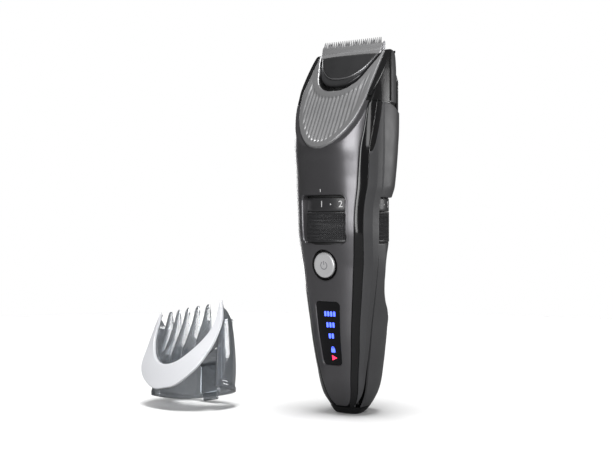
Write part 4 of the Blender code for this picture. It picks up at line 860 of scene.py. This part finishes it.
# ------------------------------------------------------------------ blade block
def u_plate(name, table, grow, top, d0, d1, m, node=None, z_low=None, n=40, cols=26, body="blade_block", edge=0.35):
    z0 = table[0][0] - grow
    zz = [z0 + 0.02] + [z0 + (top - z0) * ((k + 0.6) / (n + 0.6)) ** 2 for k in range(n + 1)]
    rows, inn = [], []
    for z in zz:
        h = max(0.25, smooth_at(table, z) + grow)
        xs = [-h, -h + min(0.06, h * 0.1), -h + min(0.18, h * 0.2), -h + min(edge, h * 0.35)]
        xs = xs + lin(xs[-1], -xs[-1], cols)[1:-1] + [-v for v in reversed(xs)]
        ro = []
        for x in xs:
            dd = min(h - abs(x), (z - z0) * 1.2, top - z)
            ro.append(slant_point(x, z, d0 + edge_round(max(0.0, dd), edge)))
        rows.append(ro)
        inn.append([slant_point(x, z, d1) for x in xs])
    return solid_grid(name, rows, inn, m, smooth=40, body=body, node=node)


u_plate("blade_cover_face", COVER, 0.0, 167.3, -0.05, 1.3, M["cover"], "blade_cover")
# Bright silver strip round the cover's chamfered edge: painted highlight of the edge.
chain_sweep("blade_cover_edge", u_chain(COVER, 0.0, 167.0), [(0.04, -0.02), (0.26, -0.05), (0.42, 0.06), (0.46, 0.3), (0.46, 0.9),
                                                             (0.04, 0.9)], M["cover_edge_highlight"], smooth=50)
# dished lip below the cover
lipc = u_chain(COVER, 0.0, 166.8)
lipo = u_chain(LIP, 0.0, 166.8)
rows, inn = [], []
for (xc, zc), (xo, zo) in zip(lipc, lipo):
    ro, ri = [], []
    for t, d in ((0.10, 0.95), (0.16, 0.50), (0.30, 0.42), (0.5, 0.30), (0.7, 0.16), (0.84, 0.12), (0.93, 0.2), (1.0, 0.5)):
        ro.append(slant_point(xc + (xo - xc) * t, zc + (zo - zc) * t, d))
        ri.append(slant_point(xc + (xo - xc) * t, zc + (zo - zc) * t, 1.7))
    rows.append(ro)
    inn.append(ri)
solid_grid("blade_lip_dish", rows, inn, M["lip"], smooth=40, body="blade_block", node="blade_lip")


def blade_teeth(name, x_half, n, pitch_w, z_low, z_root, z_tip, y_low, thick, m, body, node, lean=0.15, hook=0.25, tip_w=0.16, root_w=0.66):
    """Blade bar with tapered teeth: each tooth is narrowed and bent slightly back towards its tip."""
    def yb(z):
        return y_low + (z - z_low) * lean
    xs = [-x_half + 0.9 + (2 * x_half - 1.8) * k / (n - 1) for k in range(n)]
    verts, faces = [], []

    def quad_tube(rings):
        base = len(verts)
        for ring in rings:
            verts.extend(ring)
        q = len(rings[0])
        for k in range(len(rings) - 1):
            for j in range(q):
                a, b = base + k * q + j, base + k * q + (j + 1) % q
                faces.append((a, b, b + q, a + q))
        faces.append(tuple(reversed(range(base, base + q))))
        faces.append(tuple(range(base + (len(rings) - 1) * q, base + len(rings) * q)))
    # bar
    rings = []
    for z, t in ((z_low, 0.6), (z_low + 0.15, 0.92), (z_low + 0.35, 1.0), (z_root - 0.9, 1.0), (z_root - 0.2, 0.8), (z_root + 0.35, 0.72)):
        y0, y1 = yb(z) + thick * (1 - t) * 0.5, yb(z) + thick
        c = 0.25
        rings.append([(-x_half + c, y0, z), (x_half - c, y0, z), (x_half, y0 + 0.12, z), (x_half, y1, z), (-x_half, y1, z),
                      (-x_half, y0 + 0.12, z)])
    quad_tube(rings)
    for k, x in enumerate(xs):
        end = k in (0, n - 1)
        rings = []
        for t in (0.0, 0.25, 0.5, 0.75, 0.92, 1.0):
            z = z_root - 0.1 + (z_tip - z_root + 0.1) * t
            w = (root_w * (1 - t) + tip_w * t) * (1.35 if end else 1.0)
            d = thick * 0.74 * (1 - 0.62 * t)
            yc = yb(z) + thick * 0.30 + hook * t * t + d * 0.0
            xo = (0.0 if not end else math.copysign(0.18 * t * t, -x))
            rings.append([(x + xo - w / 2, yc, z), (x + xo + w / 2, yc, z), (x + xo + w / 2, yc + d, z), (x + xo - w / 2, yc + d, z)])
        quad_tube(rings)
    return obj_from(name, verts, faces, m, smooth=30, body=body, node=node)


blade_teeth("fixed_blade_toothed", 17.3, 30, 1.16, 166.9, 171.2, 174.5, 2.55, 0.8, M["steel"], "blade_block", "fixed_blade", lean=0.16, root_w=0.74, tip_w=0.2)
blade_teeth("moving_blade_toothed", 15.6, 21, 1.5, 167.6, 171.0, 173.8, 4.1, 0.65, M["steel2"], "cutter", "moving_blade", lean=0.10,
            root_w=0.85, tip_w=0.3)
# lower step of the fixed blade
extruded("blade_step", [(-16.9, 166.6), (16.9, 166.6), (17.2, 167.0), (17.2, 168.6), (-17.2, 168.6), (-17.2, 167.0)],
         lambda a, b, d: (a, d + (b - 166.6) * 0.3, b), 1.95, 2.7, M["steel"], 0.12, body="blade_block", smooth=35)
# end hooks beside the outer teeth
for sx, nm in ((-1, "left"), (1, "right")):
    pts = [(2.6, 167.6), (3.3, 168.4), (3.6, 170.0), (3.9, 171.6), (4.6, 172.6), (5.4, 172.7), (5.8, 171.8), (5.6, 169.6), (5.4, 167.4)]
    extruded("blade_end_" + nm, pts, lambda a, b, d, s=sx: (s * d, a, b), 17.3, 17.75, M["steel2"], 0.1, body="blade_block", smooth=40)

# ------------------------------------------------------------------ length dial
def ring_grid(name, z0, z1, nz, seg, fn, r_in, m, body, node, edge=0.25):
    zz = [z0, z0 + 0.08, z0 + edge] + lin(z0 + edge, z1 - edge, nz)[1:-1] + [z1 - edge, z1 - 0.08, z1]
    rows, inn = [], []
    for z in zz:
        o = edge_round(min(z - z0, z1 - z), edge)
        ro, ri = [], []
        for k in range(seg):
            a = 2 * math.pi * k / seg
            r = fn(a, z) - o
            ro.append((r * math.sin(a), -r * math.cos(a), z))
            ri.append((r_in * math.sin(a), -r_in * math.cos(a), z))
        rows.append(ro)
        inn.append(ri)
    return solid_grid(name, rows, inn, m, closed=True, smooth=60, body=body, node=node)


PITCH = 0.95
NK = int(round(2 * math.pi * DIAL_R / (PITCH * 1.15)))


def knurl(a, z):
    s = a * NK / (2 * math.pi)
    t = (z - DIAL_Z0) / (PITCH * 1.05)
    u, v = s + t, s - t
    d1, d2 = abs((u % 1.0) - 0.5) * 2, abs((v % 1.0) - 0.5) * 2
    g = min(1.0, (1 - max(d1, d2)) / 0.55)
    edge = min(1.0, max(0.0, (z - DIAL_Z0 - 0.9) / 0.4), max(0.0, (DIAL_SPLIT - 0.7 - z) / 0.4))
    return DIAL_R - 0.02 - 0.42 * (1 - g) * edge


ring_grid("dial_knurl", DIAL_Z0, DIAL_SPLIT - 0.15, 62, NK * 9, knurl, 17.6, M["dial"], "dial", "dial_ring")
ring_grid("dial_numbers_band", DIAL_SPLIT, DIAL_Z1, 6, 240, lambda a, z: DIAL_R - 0.12, 17.6, M["dial_band"], "dial", "dial_ring", 0.3)
# digits, white, wrapped on the band: 1 to 10, with a dot at each half step
FONT_H = 3.1


def digit(text, deg, name):
    cu = bpy.data.curves.new(name, 'FONT')
    cu.body = text
    cu.size = FONT_H * 1.36 * MM
    cu.align_x = 'CENTER'
    cu.align_y = 'CENTER'
    cu.resolution_u = 3
    cu.extrude = 0.00006
    tmp = bpy.data.objects.new(name + "_t", cu)
    bpy.context.scene.collection.objects.link(tmp)
    bpy.context.view_layer.update()
    me = bpy.data.meshes.new_from_object(tmp.evaluated_get(bpy.context.evaluated_depsgraph_get()))
    bpy.data.objects.remove(tmp)
    bm = bmesh.new()
    bm.from_mesh(me)
    bmesh.ops.remove_doubles(bm, verts=bm.verts, dist=1e-7)
    bmesh.ops.subdivide_edges(bm, edges=[e for e in bm.edges if e.calc_length() > 0.0008], cuts=2)
    bmesh.ops.triangulate(bm, faces=bm.faces)
    zc = 97.0
    for v in bm.verts:
        a = math.radians(deg) + v.co.x / (DIAL_R * MM)
        r = (DIAL_R - 0.105) * MM + v.co.z
        v.co = Vector((r * math.sin(a), -r * math.cos(a), zc * MM + v.co.y))
    bmesh.ops.recalc_face_normals(bm, faces=bm.faces)
    out = bpy.data.meshes.new(name)
    bm.to_mesh(out)
    bm.free()
    out.materials.append(M["print"])
    ob = bpy.data.objects.new(name, out)
    bpy.context.scene.collection.objects.link(ob)
    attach(ob, "dial")
    return ob


for k in range(19):
    deg = 14.0 * k
    if k % 2 == 0:
        digit(str(1 + k // 2), deg, "dial_digit_%d" % (1 + k // 2))
    else:
        a = math.radians(deg)
        turned("dial_dot_%d" % k, [(0.0, 0.06), (0.30, 0.06), (0.34, 0.02), (0.34, -0.15), (0.0, -0.15)], M["print"],
               centre=((DIAL_R - 0.12) * math.sin(a), -(DIAL_R - 0.12) * math.cos(a), 97.0), axis=(math.sin(a), -math.cos(a), 0),
               seg=20, closed=False, body="dial")
turned("dial_bearing", [(12.0, 78.6), (19.25, 78.6), (19.25, 79.62), (19.1, 79.72), (12.0, 79.72)], M["dark"], seg=96)
turned("dial_cover_ring", [(17.0, 100.12), (18.9, 100.12), (18.9, 101.35), (17.0, 101.35)], M["dark"], seg=96)
# tick mark over the window
p = front_point(0.0, 103.4, -0.01)
extruded("index_tick", [(-0.16, 102.6), (0.16, 102.6), (0.16, 103.9), (-0.16, 103.9)],
         lambda a, b, d: tuple(front_point(a, b, d)), -0.05, 0.25, M["print"], smooth=30)
# side dot beside the dial is printed on the dial in the open back window

# ------------------------------------------------------------------ power button
bn = Vector((0.0, -0.9964, -0.0848))
bc = (0.0, -section(BTN_Z)[1], BTN_Z)
prof = [(0.0, 0.18), (2.2, 0.20), (3.6, 0.26), (4.6, 0.33), (5.15, 0.33), (5.5, 0.25), (5.7, 0.08), (5.8, -0.2), (5.8, -1.1), (0.0, -1.1)]
turned("power_button_cap", prof, M["button"], centre=bc, axis=bn, seg=96, closed=False, body="button", node="power_button", smooth=40)
rot = Vector((0, 0, 1)).rotation_difference(bn).to_matrix()


def on_button(x, z, h):
    """Point over the button: x to the right, z up its face, h proud of it."""
    right = Vector((1, 0, 0))
    up = bn.cross(right).normalized()
    if up.z < 0:
        up = -up
    v = Vector(bc) + right * x + up * z + bn * h
    return (v.x, v.y, v.z)


def button_mark(name, chain, width):
    n = len(chain)
    verts, faces = [], []
    for k, (x, z) in enumerate(chain):
        a, b = chain[max(0, k - 1)], chain[min(n - 1, k + 1)]
        t = Vector((b[0] - a[0], b[1] - a[1])).normalized()
        nx, nz = t.y * width / 2, -t.x * width / 2
        verts += [on_button(x + nx, z + nz, 0.245), on_button(x - nx, z - nz, 0.245), on_button(x - nx, z - nz, 0.1),
                  on_button(x + nx, z + nz, 0.1)]
    for k in range(n - 1):
        for j in range(4):
            faces.append((k * 4 + j, k * 4 + (j + 1) % 4, (k + 1) * 4 + (j + 1) % 4, (k + 1) * 4 + j))
    faces += [(0, 1, 2, 3), tuple(reversed(range(4 * n - 4, 4 * n)))]
    return obj_from(name, verts, faces, M["icon"], body="button", smooth=40)


button_mark("power_mark_ring", [(1.75 * math.sin(math.radians(a)), -0.1 + 1.75 * math.cos(math.radians(a))) for a in lin(32, 328, 40)], 0.42)
button_mark("power_mark_bar", [(0.0, 0.2), (0.0, 1.1), (0.0, 1.95)], 0.42)
turned("button_well", [(6.9, -0.1), (6.95, -0.35), (6.95, -2.4), (0.0, -2.4), (0.0, -2.0), (6.1, -2.0), (6.1, -0.4), (6.2, -0.22), (6.5, -0.12)],
       M["head"], centre=bc, axis=bn, seg=96, closed=False, body="root", node="button_bezel", smooth=40)

# ------------------------------------------------------------------ indicator window
zz = lin(23.3, 52.3, 60)
rows, inn = [], []
for z in zz:
    h = 5.4 + 1.5 * (z - 23.1) / 29.4 - 0.03
    c = min(z - 23.1, 52.5 - z)
    if c < 1.9:
        h -= 1.9 - math.sqrt(max(0.0, 1.9 ** 2 - (1.9 - c) ** 2))
    rows.append([tuple(front_point(x, z, 0.55)) for x in lin(-h, h, 21)])
    inn.append([tuple(front_point(x, z, 1.5)) for x in lin(-h, h, 21)])
solid_grid("display_window", rows, inn, M["lens"], smooth=40, node="display_lens")


def lamp(name, x0, x1, z0, z1, m, r=0.35, depth=0.50):
    pts = rounded_rect((x1 - x0) / 2, z0, z1, min(r, (x1 - x0) / 2 - 0.02, (z1 - z0) / 2 - 0.02), 4)
    xc = (x0 + x1) / 2
    return extruded(name, [(x + xc, z) for x, z in pts], lambda a, b, d: tuple(front_point(a, b, d)), depth, depth + 0.3, m, smooth=40)


# charge level: three rows of bars, four, three and two; a ring and a pointer below them
k = 0
for zc, n in ((46.9, 4), (41.8, 3), (36.7, 2)):
    w, gap = 1.15, 0.55
    tot = n * w + (n - 1) * gap
    x = 0.9 - tot / 2 + 0.2
    for j in range(n):
        lamp("level_bar_%d" % k, x, x + w, zc - 1.15, zc + 1.15, M["blue"])
        x += w + gap
        k += 1
lamp("status_body", 0.1, 2.3, 29.0, 30.9, M["blue"], 0.25)
pts = [(0.45 + 0.75 + 0.75 * math.cos(math.radians(a)), 31.0 + 0.75 * math.sin(math.radians(a))) for a in lin(0, 180, 14)] + \
      [(1.2 + 0.45 * math.cos(math.radians(a)), 31.0 + 0.45 * math.sin(math.radians(a))) for a in lin(180, 0, 12)]
extruded("status_loop", pts, lambda a, b, d: tuple(front_point(a, b, d)), 0.5, 0.8, M["blue"], smooth=40)
extruded("charge_pointer", [(0.1, 25.2), (3.1, 26.5), (0.1, 27.8)], lambda a, b, d: tuple(front_point(a, b, d)), 0.5, 0.8, M["red"],
         0.12, smooth=40)

# ------------------------------------------------------------------ base cap and inlet
zs = [0.0, 0.05, 0.2, 0.45, 0.8, 1.2, 1.7, 2.3, 2.9, 3.15]
cols = [3.0 * k for k in range(120)]


def base_pt(z, p):
    return surf(max(z, 0.0), p, edge_round(z, 0.45))


g = [[base_pt(z, p) for p in cols] for z in zs]
hole = rounded_rect(4.7, 1.75, 7.25, 1.3, 8)
verts = [p for r in g for p in r]
n = len(cols)
faces = []
for a in range(len(zs) - 1):
    for b in range(n):
        faces.append((a * n + b, a * n + (b + 1) % n, (a + 1) * n + (b + 1) % n, (a + 1) * n + b))
faces.append(tuple(reversed(range(n))))
faces.append(tuple(range((len(zs) - 1) * n, len(zs) * n)))
base = obj_from("base_cap_shell", verts, faces, M["head"], smooth=40, node="base_cap")
hc = extruded("inlet_shape", hole, lambda a, b, d: (a, b, d), -2.0, 6.0, M["dark"])
bo = base.modifiers.new("inlet", 'BOOLEAN')
bo.object = hc
bo.solver = 'EXACT'
dg = bpy.context.evaluated_depsgraph_get()
bpy.context.view_layer.update()
me = bpy.data.meshes.new_from_object(base.evaluated_get(bpy.context.evaluated_depsgraph_get()))
base.modifiers.clear()
base.data = me
bpy.data.objects.remove(hc)

# ------------------------------------------------------------------ thumb slide
cols = lin(SLIDE_EDGE, 360 - SLIDE_EDGE, 150)
zs = [SLIDE_Z0, SLIDE_Z0 + 0.05, SLIDE_Z0 + 0.15, SLIDE_Z0 + 0.35] + lin(101.2, 142.8, 90) + [SLIDE_Z1 - 0.35, SLIDE_Z1 - 0.15, SLIDE_Z1 - 0.05,
                                                                                             SLIDE_Z1]
g, i = [], []
for z in zs:
    ro, ri = [], []
    a0 = math.degrees(math.acos((3.4 / section(z)[1]) ** 1.3))
    for c in cols:
        p = a0 + (360 - 2 * a0) * (c - SLIDE_EDGE) / (360 - 2 * SLIDE_EDGE)
        q = min(p, 360 - p)
        # the top edge dips towards the back, and the lower end is chamfered
        t = max(0.0, min(1.0, (q - 88) / 30.0))
        dip = 3.8 * t * t * (3 - 2 * t)
        zt = z - dip * max(0.0, (z - 122.0) / (SLIDE_Z1 - 122.0)) ** 2
        qs = section(zt)
        d_side = (q - a0) / arc(max(z, 101), 90.0, 1.0)
        o = edge_round(min(z - SLIDE_Z0, SLIDE_Z1 - z, d_side), 0.35)
        ch = max(0.0, (105.2 - z) / 4.9)
        o += 0.22 * ch * min(1.0, max(0.0, (q - 86) / 10.0))
        ro.append(surf(zt, p, o))
        sec = [smooth_at(SLIDE_IN, zt, 1), qs[1] - 1.5, smooth_at(SLIDE_IN, zt, 2), 2.6, smooth_at(SLIDE_POWER, zt, 1)]
        ri.append(surf(zt, p, 0.0, sec))
    g.append(ro)
    i.append(ri)
solid_grid("thumb_slide", g, i, M["slide"], smooth=45, body="slide", node="trimmer_slide")
# raised grip ribs low on the back of the slide
for k in range(6):
    zc = 107.5 + 2.3 * k
    rows, inn = [], []
    for p in lin(158.0, 202.0, 30):
        e = 1 - (abs(p - 180) / 22.0) ** 4
        prof = [(-0.75, 0.0), (-0.5, -0.34 * e), (0.0, -0.5 * e), (0.5, -0.34 * e), (0.75, 0.0)]
        rows.append([surf(zc + dz, p, off + 0.02) for dz, off in prof])
        inn.append([surf(zc + dz, p, 0.3) for dz, off in prof])
    solid_grid("slide_rib_%d" % k, rows, inn, M["slide"], smooth=50, body="slide")

# ------------------------------------------------------------------ pop-up trimmer
block("trimmer_carrier", (-15.9, 17.95, 140.4), (15.9, 18.95, 155.4), M["cover"], 0.35, body="slide", node="trimmer_frame", smooth=40)
blade_teeth("trimmer_fixed_toothed", 15.4, 21, 1.5, 150.6, 155.6, 158.2, 19.15, 0.42, M["steel"], "slide", "trimmer_fixed_blade", lean=0.0,
            hook=0.0, root_w=0.8, tip_w=0.25)
blade_teeth("trimmer_moving_toothed", 14.2, 19, 1.5, 151.0, 155.3, 157.8, 19.8, 0.42, M["steel2"], "trimmer_cutter", "trimmer_moving_blade",
            lean=0.0, hook=0.0, root_w=0.75, tip_w=0.25)

# ------------------------------------------------------------------ guide comb
CM = Matrix.Translation((-80.9, -25.1, 47.3)) @ Matrix.Rotation(
    math.radians(-COMB_LEAN), 4, Vector((math.cos(math.radians(COMB_YAW)), math.sin(math.radians(COMB_YAW)), 0.0)))
BAND_Y = [(-44.0, -14.2), (-42.0, -13.8), (-30.0, -10.9), (-17.0, -5.0), (-8.0, -1.6), (1.5, 1.0)]
BAND_OUT = [(0.0, -42.0), (7.8, -41.0), (17.4, -34.3), (22.2, -26.4), (23.5, -17.0), (23.3, -8.5), (20.9, 0.8)]
BAND_IN = [(0.0, -29.9), (7.3, -28.1), (14.2, -22.2), (18.7, -15.2), (19.9, -10.0), (20.1, -7.0), (20.2, 0.3)]
HOOD_R = [(-42.0, 17.6), (-33.0, 17.4), (-22.0, 15.6), (-9.0, 12.0), (-2.0, 8.0), (1.0, 7.0)]
HOOD_W = [(-42.0, 21.6), (-33.0, 22.6), (-22.0, 23.1), (-9.0, 22.9), (0.8, 21.2)]
HOOD_TOP = [(70.0, 0.2), (90.0, -3.2), (110.0, -8.0), (130.0, -14.0), (150.0, -18.0), (180.0, -19.0)]


def CP(p):
    v = CM @ Vector(p)
    return (v.x, v.y, v.z)


def band_y(x, z):
    return smooth_at(BAND_Y, z) + 0.005 * x * x


def chain(pts, t):
    m = len(pts) - 1
    full = [(-x, z) for x, z in reversed(pts[1:])] + list(pts)
    u = (t + 1) / 2 * (2 * m)
    i = min(2 * m - 1, max(0, int(math.floor(u))))
    f = u - i
    p0, p1 = full[max(0, i - 1)], full[i]
    p2, p3 = full[i + 1], full[min(2 * m, i + 2)]
    return tuple(0.5 * (2 * p1[k] + (p2[k] - p0[k]) * f + (2 * p0[k] - 5 * p1[k] + 4 * p2[k] - p3[k]) * f * f
                        + (3 * p1[k] - p0[k] - 3 * p2[k] + p3[k]) * f ** 3) for k in (0, 1))


rows, inn = [], []
for k in range(161):
    t = -1 + 2 * k / 160
    a, b = chain(BAND_OUT, t), chain(BAND_IN, t)
    w = math.hypot(a[0] - b[0], a[1] - b[1])
    ds = [0.0, 0.05, 0.14, 0.3, 0.5] + lin(0.8, w - 0.8, 12) + [w - 0.5, w - 0.3, w - 0.14, w - 0.05, w] if w > 2.2 else lin(0, w, 22)
    ro, ri = [], []
    end = (1 - abs(t)) * 60
    for d in ds:
        s = d / w
        x, z = a[0] + (b[0] - a[0]) * s, a[1] + (b[1] - a[1]) * s
        o = edge_round(min(d, w - d, end), 0.5)
        ro.append(CP((x, band_y(x, z) + o, z)))
        ri.append(CP((x, band_y(x, z) + 1.35, z)))
    rows.append(ro)
    inn.append(ri)
solid_grid("comb_band_face", rows, inn, M["comb_band"], smooth=45, body="comb", node="comb_band")


def hood_point(p, f, off, rib=0.0):
    q = min(p, 360.0 - p)
    z1 = smooth_at(HOOD_TOP, q)
    z = -41.5 + (z1 + 41.5) * f
    w, r = smooth_at(HOOD_W, z) - off, smooth_at(HOOD_R, z) - off
    x, y = squircle(w, 13.0 - off, r, 2.4, 2.8, p)
    y += 4.4
    if q < 100:
        y = max(y, band_y(x, z) + 1.75)
    return (x, y, z)


hc = lin(74, 286, 120)
fr = [0.0, 0.006, 0.015, 0.03] + lin(0.05, 0.95, 44) + [0.97, 0.985, 0.994, 1.0]


def hood_off(p, f):
    """Flange round the lower rim, and a rounded top edge."""
    o = 0.0
    if f < 0.075:
        o -= 0.55 * min(1.0, (0.075 - f) / 0.02)
    return o


rows = [[CP(hood_point(p, f, hood_off(p, f))) for p in hc] for f in fr]
inn = [[CP(hood_point(p, f, 1.25)) for p in hc] for f in fr]
solid_grid("comb_hood", rows, inn, M["smoke"], smooth=45, body="comb", node="comb_body")
# trough that carries the teeth
rows, inn = [], []
for k in range(81):
    t = (-1 + 2 * k / 80) * 0.82
    x, z = chain(BAND_IN, t)
    ro, ri = [], []
    for gdist in lin(0.0, 11.0, 12):
        kk = 1.0 - 1.1 / max(1.0, math.hypot(x, 12.0))
        ro.append(CP((x, band_y(x, z) + 1.6 + gdist, z)))
        ri.append(CP((x * kk, band_y(x, z) + 1.6 + gdist, z + 0.85)))
    rows.append(ro)
    inn.append(ri)
solid_grid("comb_trough", rows, inn, M["smoke"], smooth=45, body="comb")


def tooth(name, x, half):
    zb = 0.0
    for i in range(400):
        a = chain(BAND_IN, 0.99 * i / 400)
        if abs(a[0]) >= abs(x):
            zb = a[1]
            break
    n = 26
    rows, inn = [], []
    for side_x, dest in ((x - half, rows), (x + half, inn)):
        for k in range(n + 1):
            t = k / n
            z = zb + 0.4 + (-0.2 - zb - 0.4) * t
            y0 = band_y(x, z) + (1.5 if t < 0.08 else 1.5 - 1.0 * min(1.0, (t - 0.08) / 0.1))
            depth = 9.4 * (1 - t) ** 0.55 * 0.55 + 9.4 * 0.45 * (1 - t) + 0.9
            tipround = 0.0
            if t > 0.9:
                y0 += 0.9 * ((t - 0.9) / 0.1) ** 2
                depth = max(0.7, depth - 0.4 * ((t - 0.9) / 0.1))
            dest.append([CP((side_x + math.copysign(0.18 * (1 if c in (0, 6) else 0), x - side_x if x != side_x else 1), y0 + depth * c / 6, z))
                         for c in range(7)])
    return solid_grid(name, rows, inn, M["smoke"], smooth=40, body="comb")


for k, x in enumerate((-12.8, -6.4, 0.0, 6.4, 12.8)):
    tooth("comb_tooth_%d" % (k + 1), x, 0.6)


def comb_block(name, lo, hi, m, bevel=0.4):
    o = [(lo[0], lo[1]), (hi[0], lo[1]), (hi[0], hi[1]), (lo[0], hi[1])]
    return extruded(name, o, lambda a, b, d: CP((a, b, d)), lo[2], hi[2], m, bevel, body="comb", smooth=40)


comb_block("comb_latch_post", (-6.0, 17.9, -40.2), (6.0, 20.6, -25.4), M["smoke"], 0.5)
comb_block("comb_latch_cap", (-6.3, 17.5, -26.6), (6.3, 20.9, -24.6), M["smoke"], 0.7)
comb_block("comb_peg_clear", (-4.6, 18.7, -43.6), (4.6, 20.4, -40.3), M["smoke"], 0.4)
for sx in (-1, 1):
    comb_block("comb_rail_%s" % ("right" if sx > 0 else "left"), (min(sx * 20.4, sx * 21.4), 4.0, -38.0), (max(sx * 20.4, sx * 21.4), 5.8, -12.0),
               M["smoke"], 0.3)

# ------------------------------------------------------------------ stage, light and camera
def stage_mat():
    """Pale matt floor; what the clipper mirrors of it is toned down, as with black cards on a photo table."""
    m = bpy.data.materials.new("stage_pale")
    m.use_nodes = True
    nt = m.node_tree
    b = nt.nodes["Principled BSDF"]
    b.inputs["Base Color"].default_value = (0.86, 0.86, 0.86, 1)
    b.inputs["Roughness"].default_value = 0.6
    b.inputs["Specular IOR Level"].default_value = 0.1
    d = nt.nodes.new("ShaderNodeBsdfDiffuse")
    d.inputs["Color"].default_value = (0.22, 0.22, 0.22, 1)
    lp = nt.nodes.new("ShaderNodeLightPath")
    mix = nt.nodes.new("ShaderNodeMixShader")
    nt.links.new(lp.outputs["Is Camera Ray"], mix.inputs["Fac"])
    nt.links.new(d.outputs["BSDF"], mix.inputs[1])
    nt.links.new(b.outputs["BSDF"], mix.inputs[2])
    nt.links.new(mix.outputs["Shader"], nt.nodes["Material Output"].inputs["Surface"])
    return m


me = bpy.data.meshes.new("stage_floor")
me.from_pydata([(0.62 * math.cos(2 * math.pi * k / 96) - 0.03, 0.62 * math.sin(2 * math.pi * k / 96), -0.0002) for k in range(96)], [],
               [tuple(range(96))])
me.materials.append(stage_mat())
floor = bpy.data.objects.new("stage_floor", me)
bpy.context.scene.collection.objects.link(floor)

world = bpy.data.worlds.new("studio")
bpy.context.scene.world = world
world.use_nodes = True
wn = world.node_tree
bg = wn.nodes["Background"]
bg.inputs["Color"].default_value = (1, 1, 1, 1)
bg.inputs["Strength"].default_value = 0.11
bg2 = wn.nodes.new("ShaderNodeBackground")
bg2.inputs["Color"].default_value = (1, 1, 1, 1)
bg2.inputs["Strength"].default_value = 1.0
mixw = wn.nodes.new("ShaderNodeMixShader")
lp = wn.nodes.new("ShaderNodeLightPath")
wn.links.new(lp.outputs["Is Camera Ray"], mixw.inputs["Fac"])
wn.links.new(bg.outputs["Background"], mixw.inputs[1])
wn.links.new(bg2.outputs["Background"], mixw.inputs[2])
wn.links.new(mixw.outputs["Shader"], wn.nodes["World Output"].inputs["Surface"])


def area(name, az, el, dist, size, power, target=(0, 0, 0.09), size_y=None):
    """Soft box at an azimuth in the camera's convention."""
    li = bpy.data.lights.new(name, 'AREA')
    li.shape = 'RECTANGLE'
    li.size = size
    li.size_y = size_y or size
    li.energy = power
    ob = bpy.data.objects.new(name, li)
    a, e = math.radians(az), math.radians(el)
    d = Vector((math.sin(a) * math.cos(e), -math.cos(a) * math.cos(e), math.sin(e)))
    ob.location = Vector(target) + d * dist
    ob.rotation_euler = (-d).to_track_quat('-Z', 'Y').to_euler()
    bpy.context.scene.collection.objects.link(ob)
    return ob


def sun(name, az, el, strength, degrees):
    """Even light from one side of the sky, with a soft edge to its shadow."""
    li = bpy.data.lights.new(name, 'SUN')
    li.energy = strength
    li.angle = math.radians(degrees)
    ob = bpy.data.objects.new(name, li)
    a, e = math.radians(az), math.radians(el)
    d = Vector((math.sin(a) * math.cos(e), -math.cos(a) * math.cos(e), math.sin(e)))
    ob.rotation_euler = (-d).to_track_quat('-Z', 'Y').to_euler()
    bpy.context.scene.collection.objects.link(ob)
    return ob


sun("top_light", 39, 86, 3.1, 20.0)
area("front_high", 28, 11, 1.1, 0.62, 7.0, size_y=0.62)
area("front_tall", 50, 2, 1.2, 0.34, 4.6, size_y=0.9)
area("side_right", 92, 16, 0.8, 0.16, 0.5, size_y=0.30)
area("side_left", -118, 8, 0.8, 0.20, 2.0, size_y=0.7)
area("rim_back_right", 146, 4.5, 0.8, 0.14, 0.8, size_y=0.16)

cam = bpy.data.cameras.new("camera")
cam.lens = 73.4
cam.sensor_width = 36.0
cam.sensor_fit = 'HORIZONTAL'
cam.shift_y = -8.0 / 613.0
cam.clip_start = 0.02
co = bpy.data.objects.new("camera", cam)
bpy.context.scene.collection.objects.link(co)
az = math.radians(39.0)
right = Vector((math.cos(az), math.sin(az), 0))
back = Vector((math.sin(az), -math.cos(az), 0))
co.location = right * (-19.07 * MM) + back * (584.0 * MM) + Vector((0, 0, 89.0 * MM))
co.rotation_euler = (math.radians(90.0), 0.0, az)
bpy.context.scene.camera = co
bpy.context.scene.view_settings.view_transform = 'Standard'
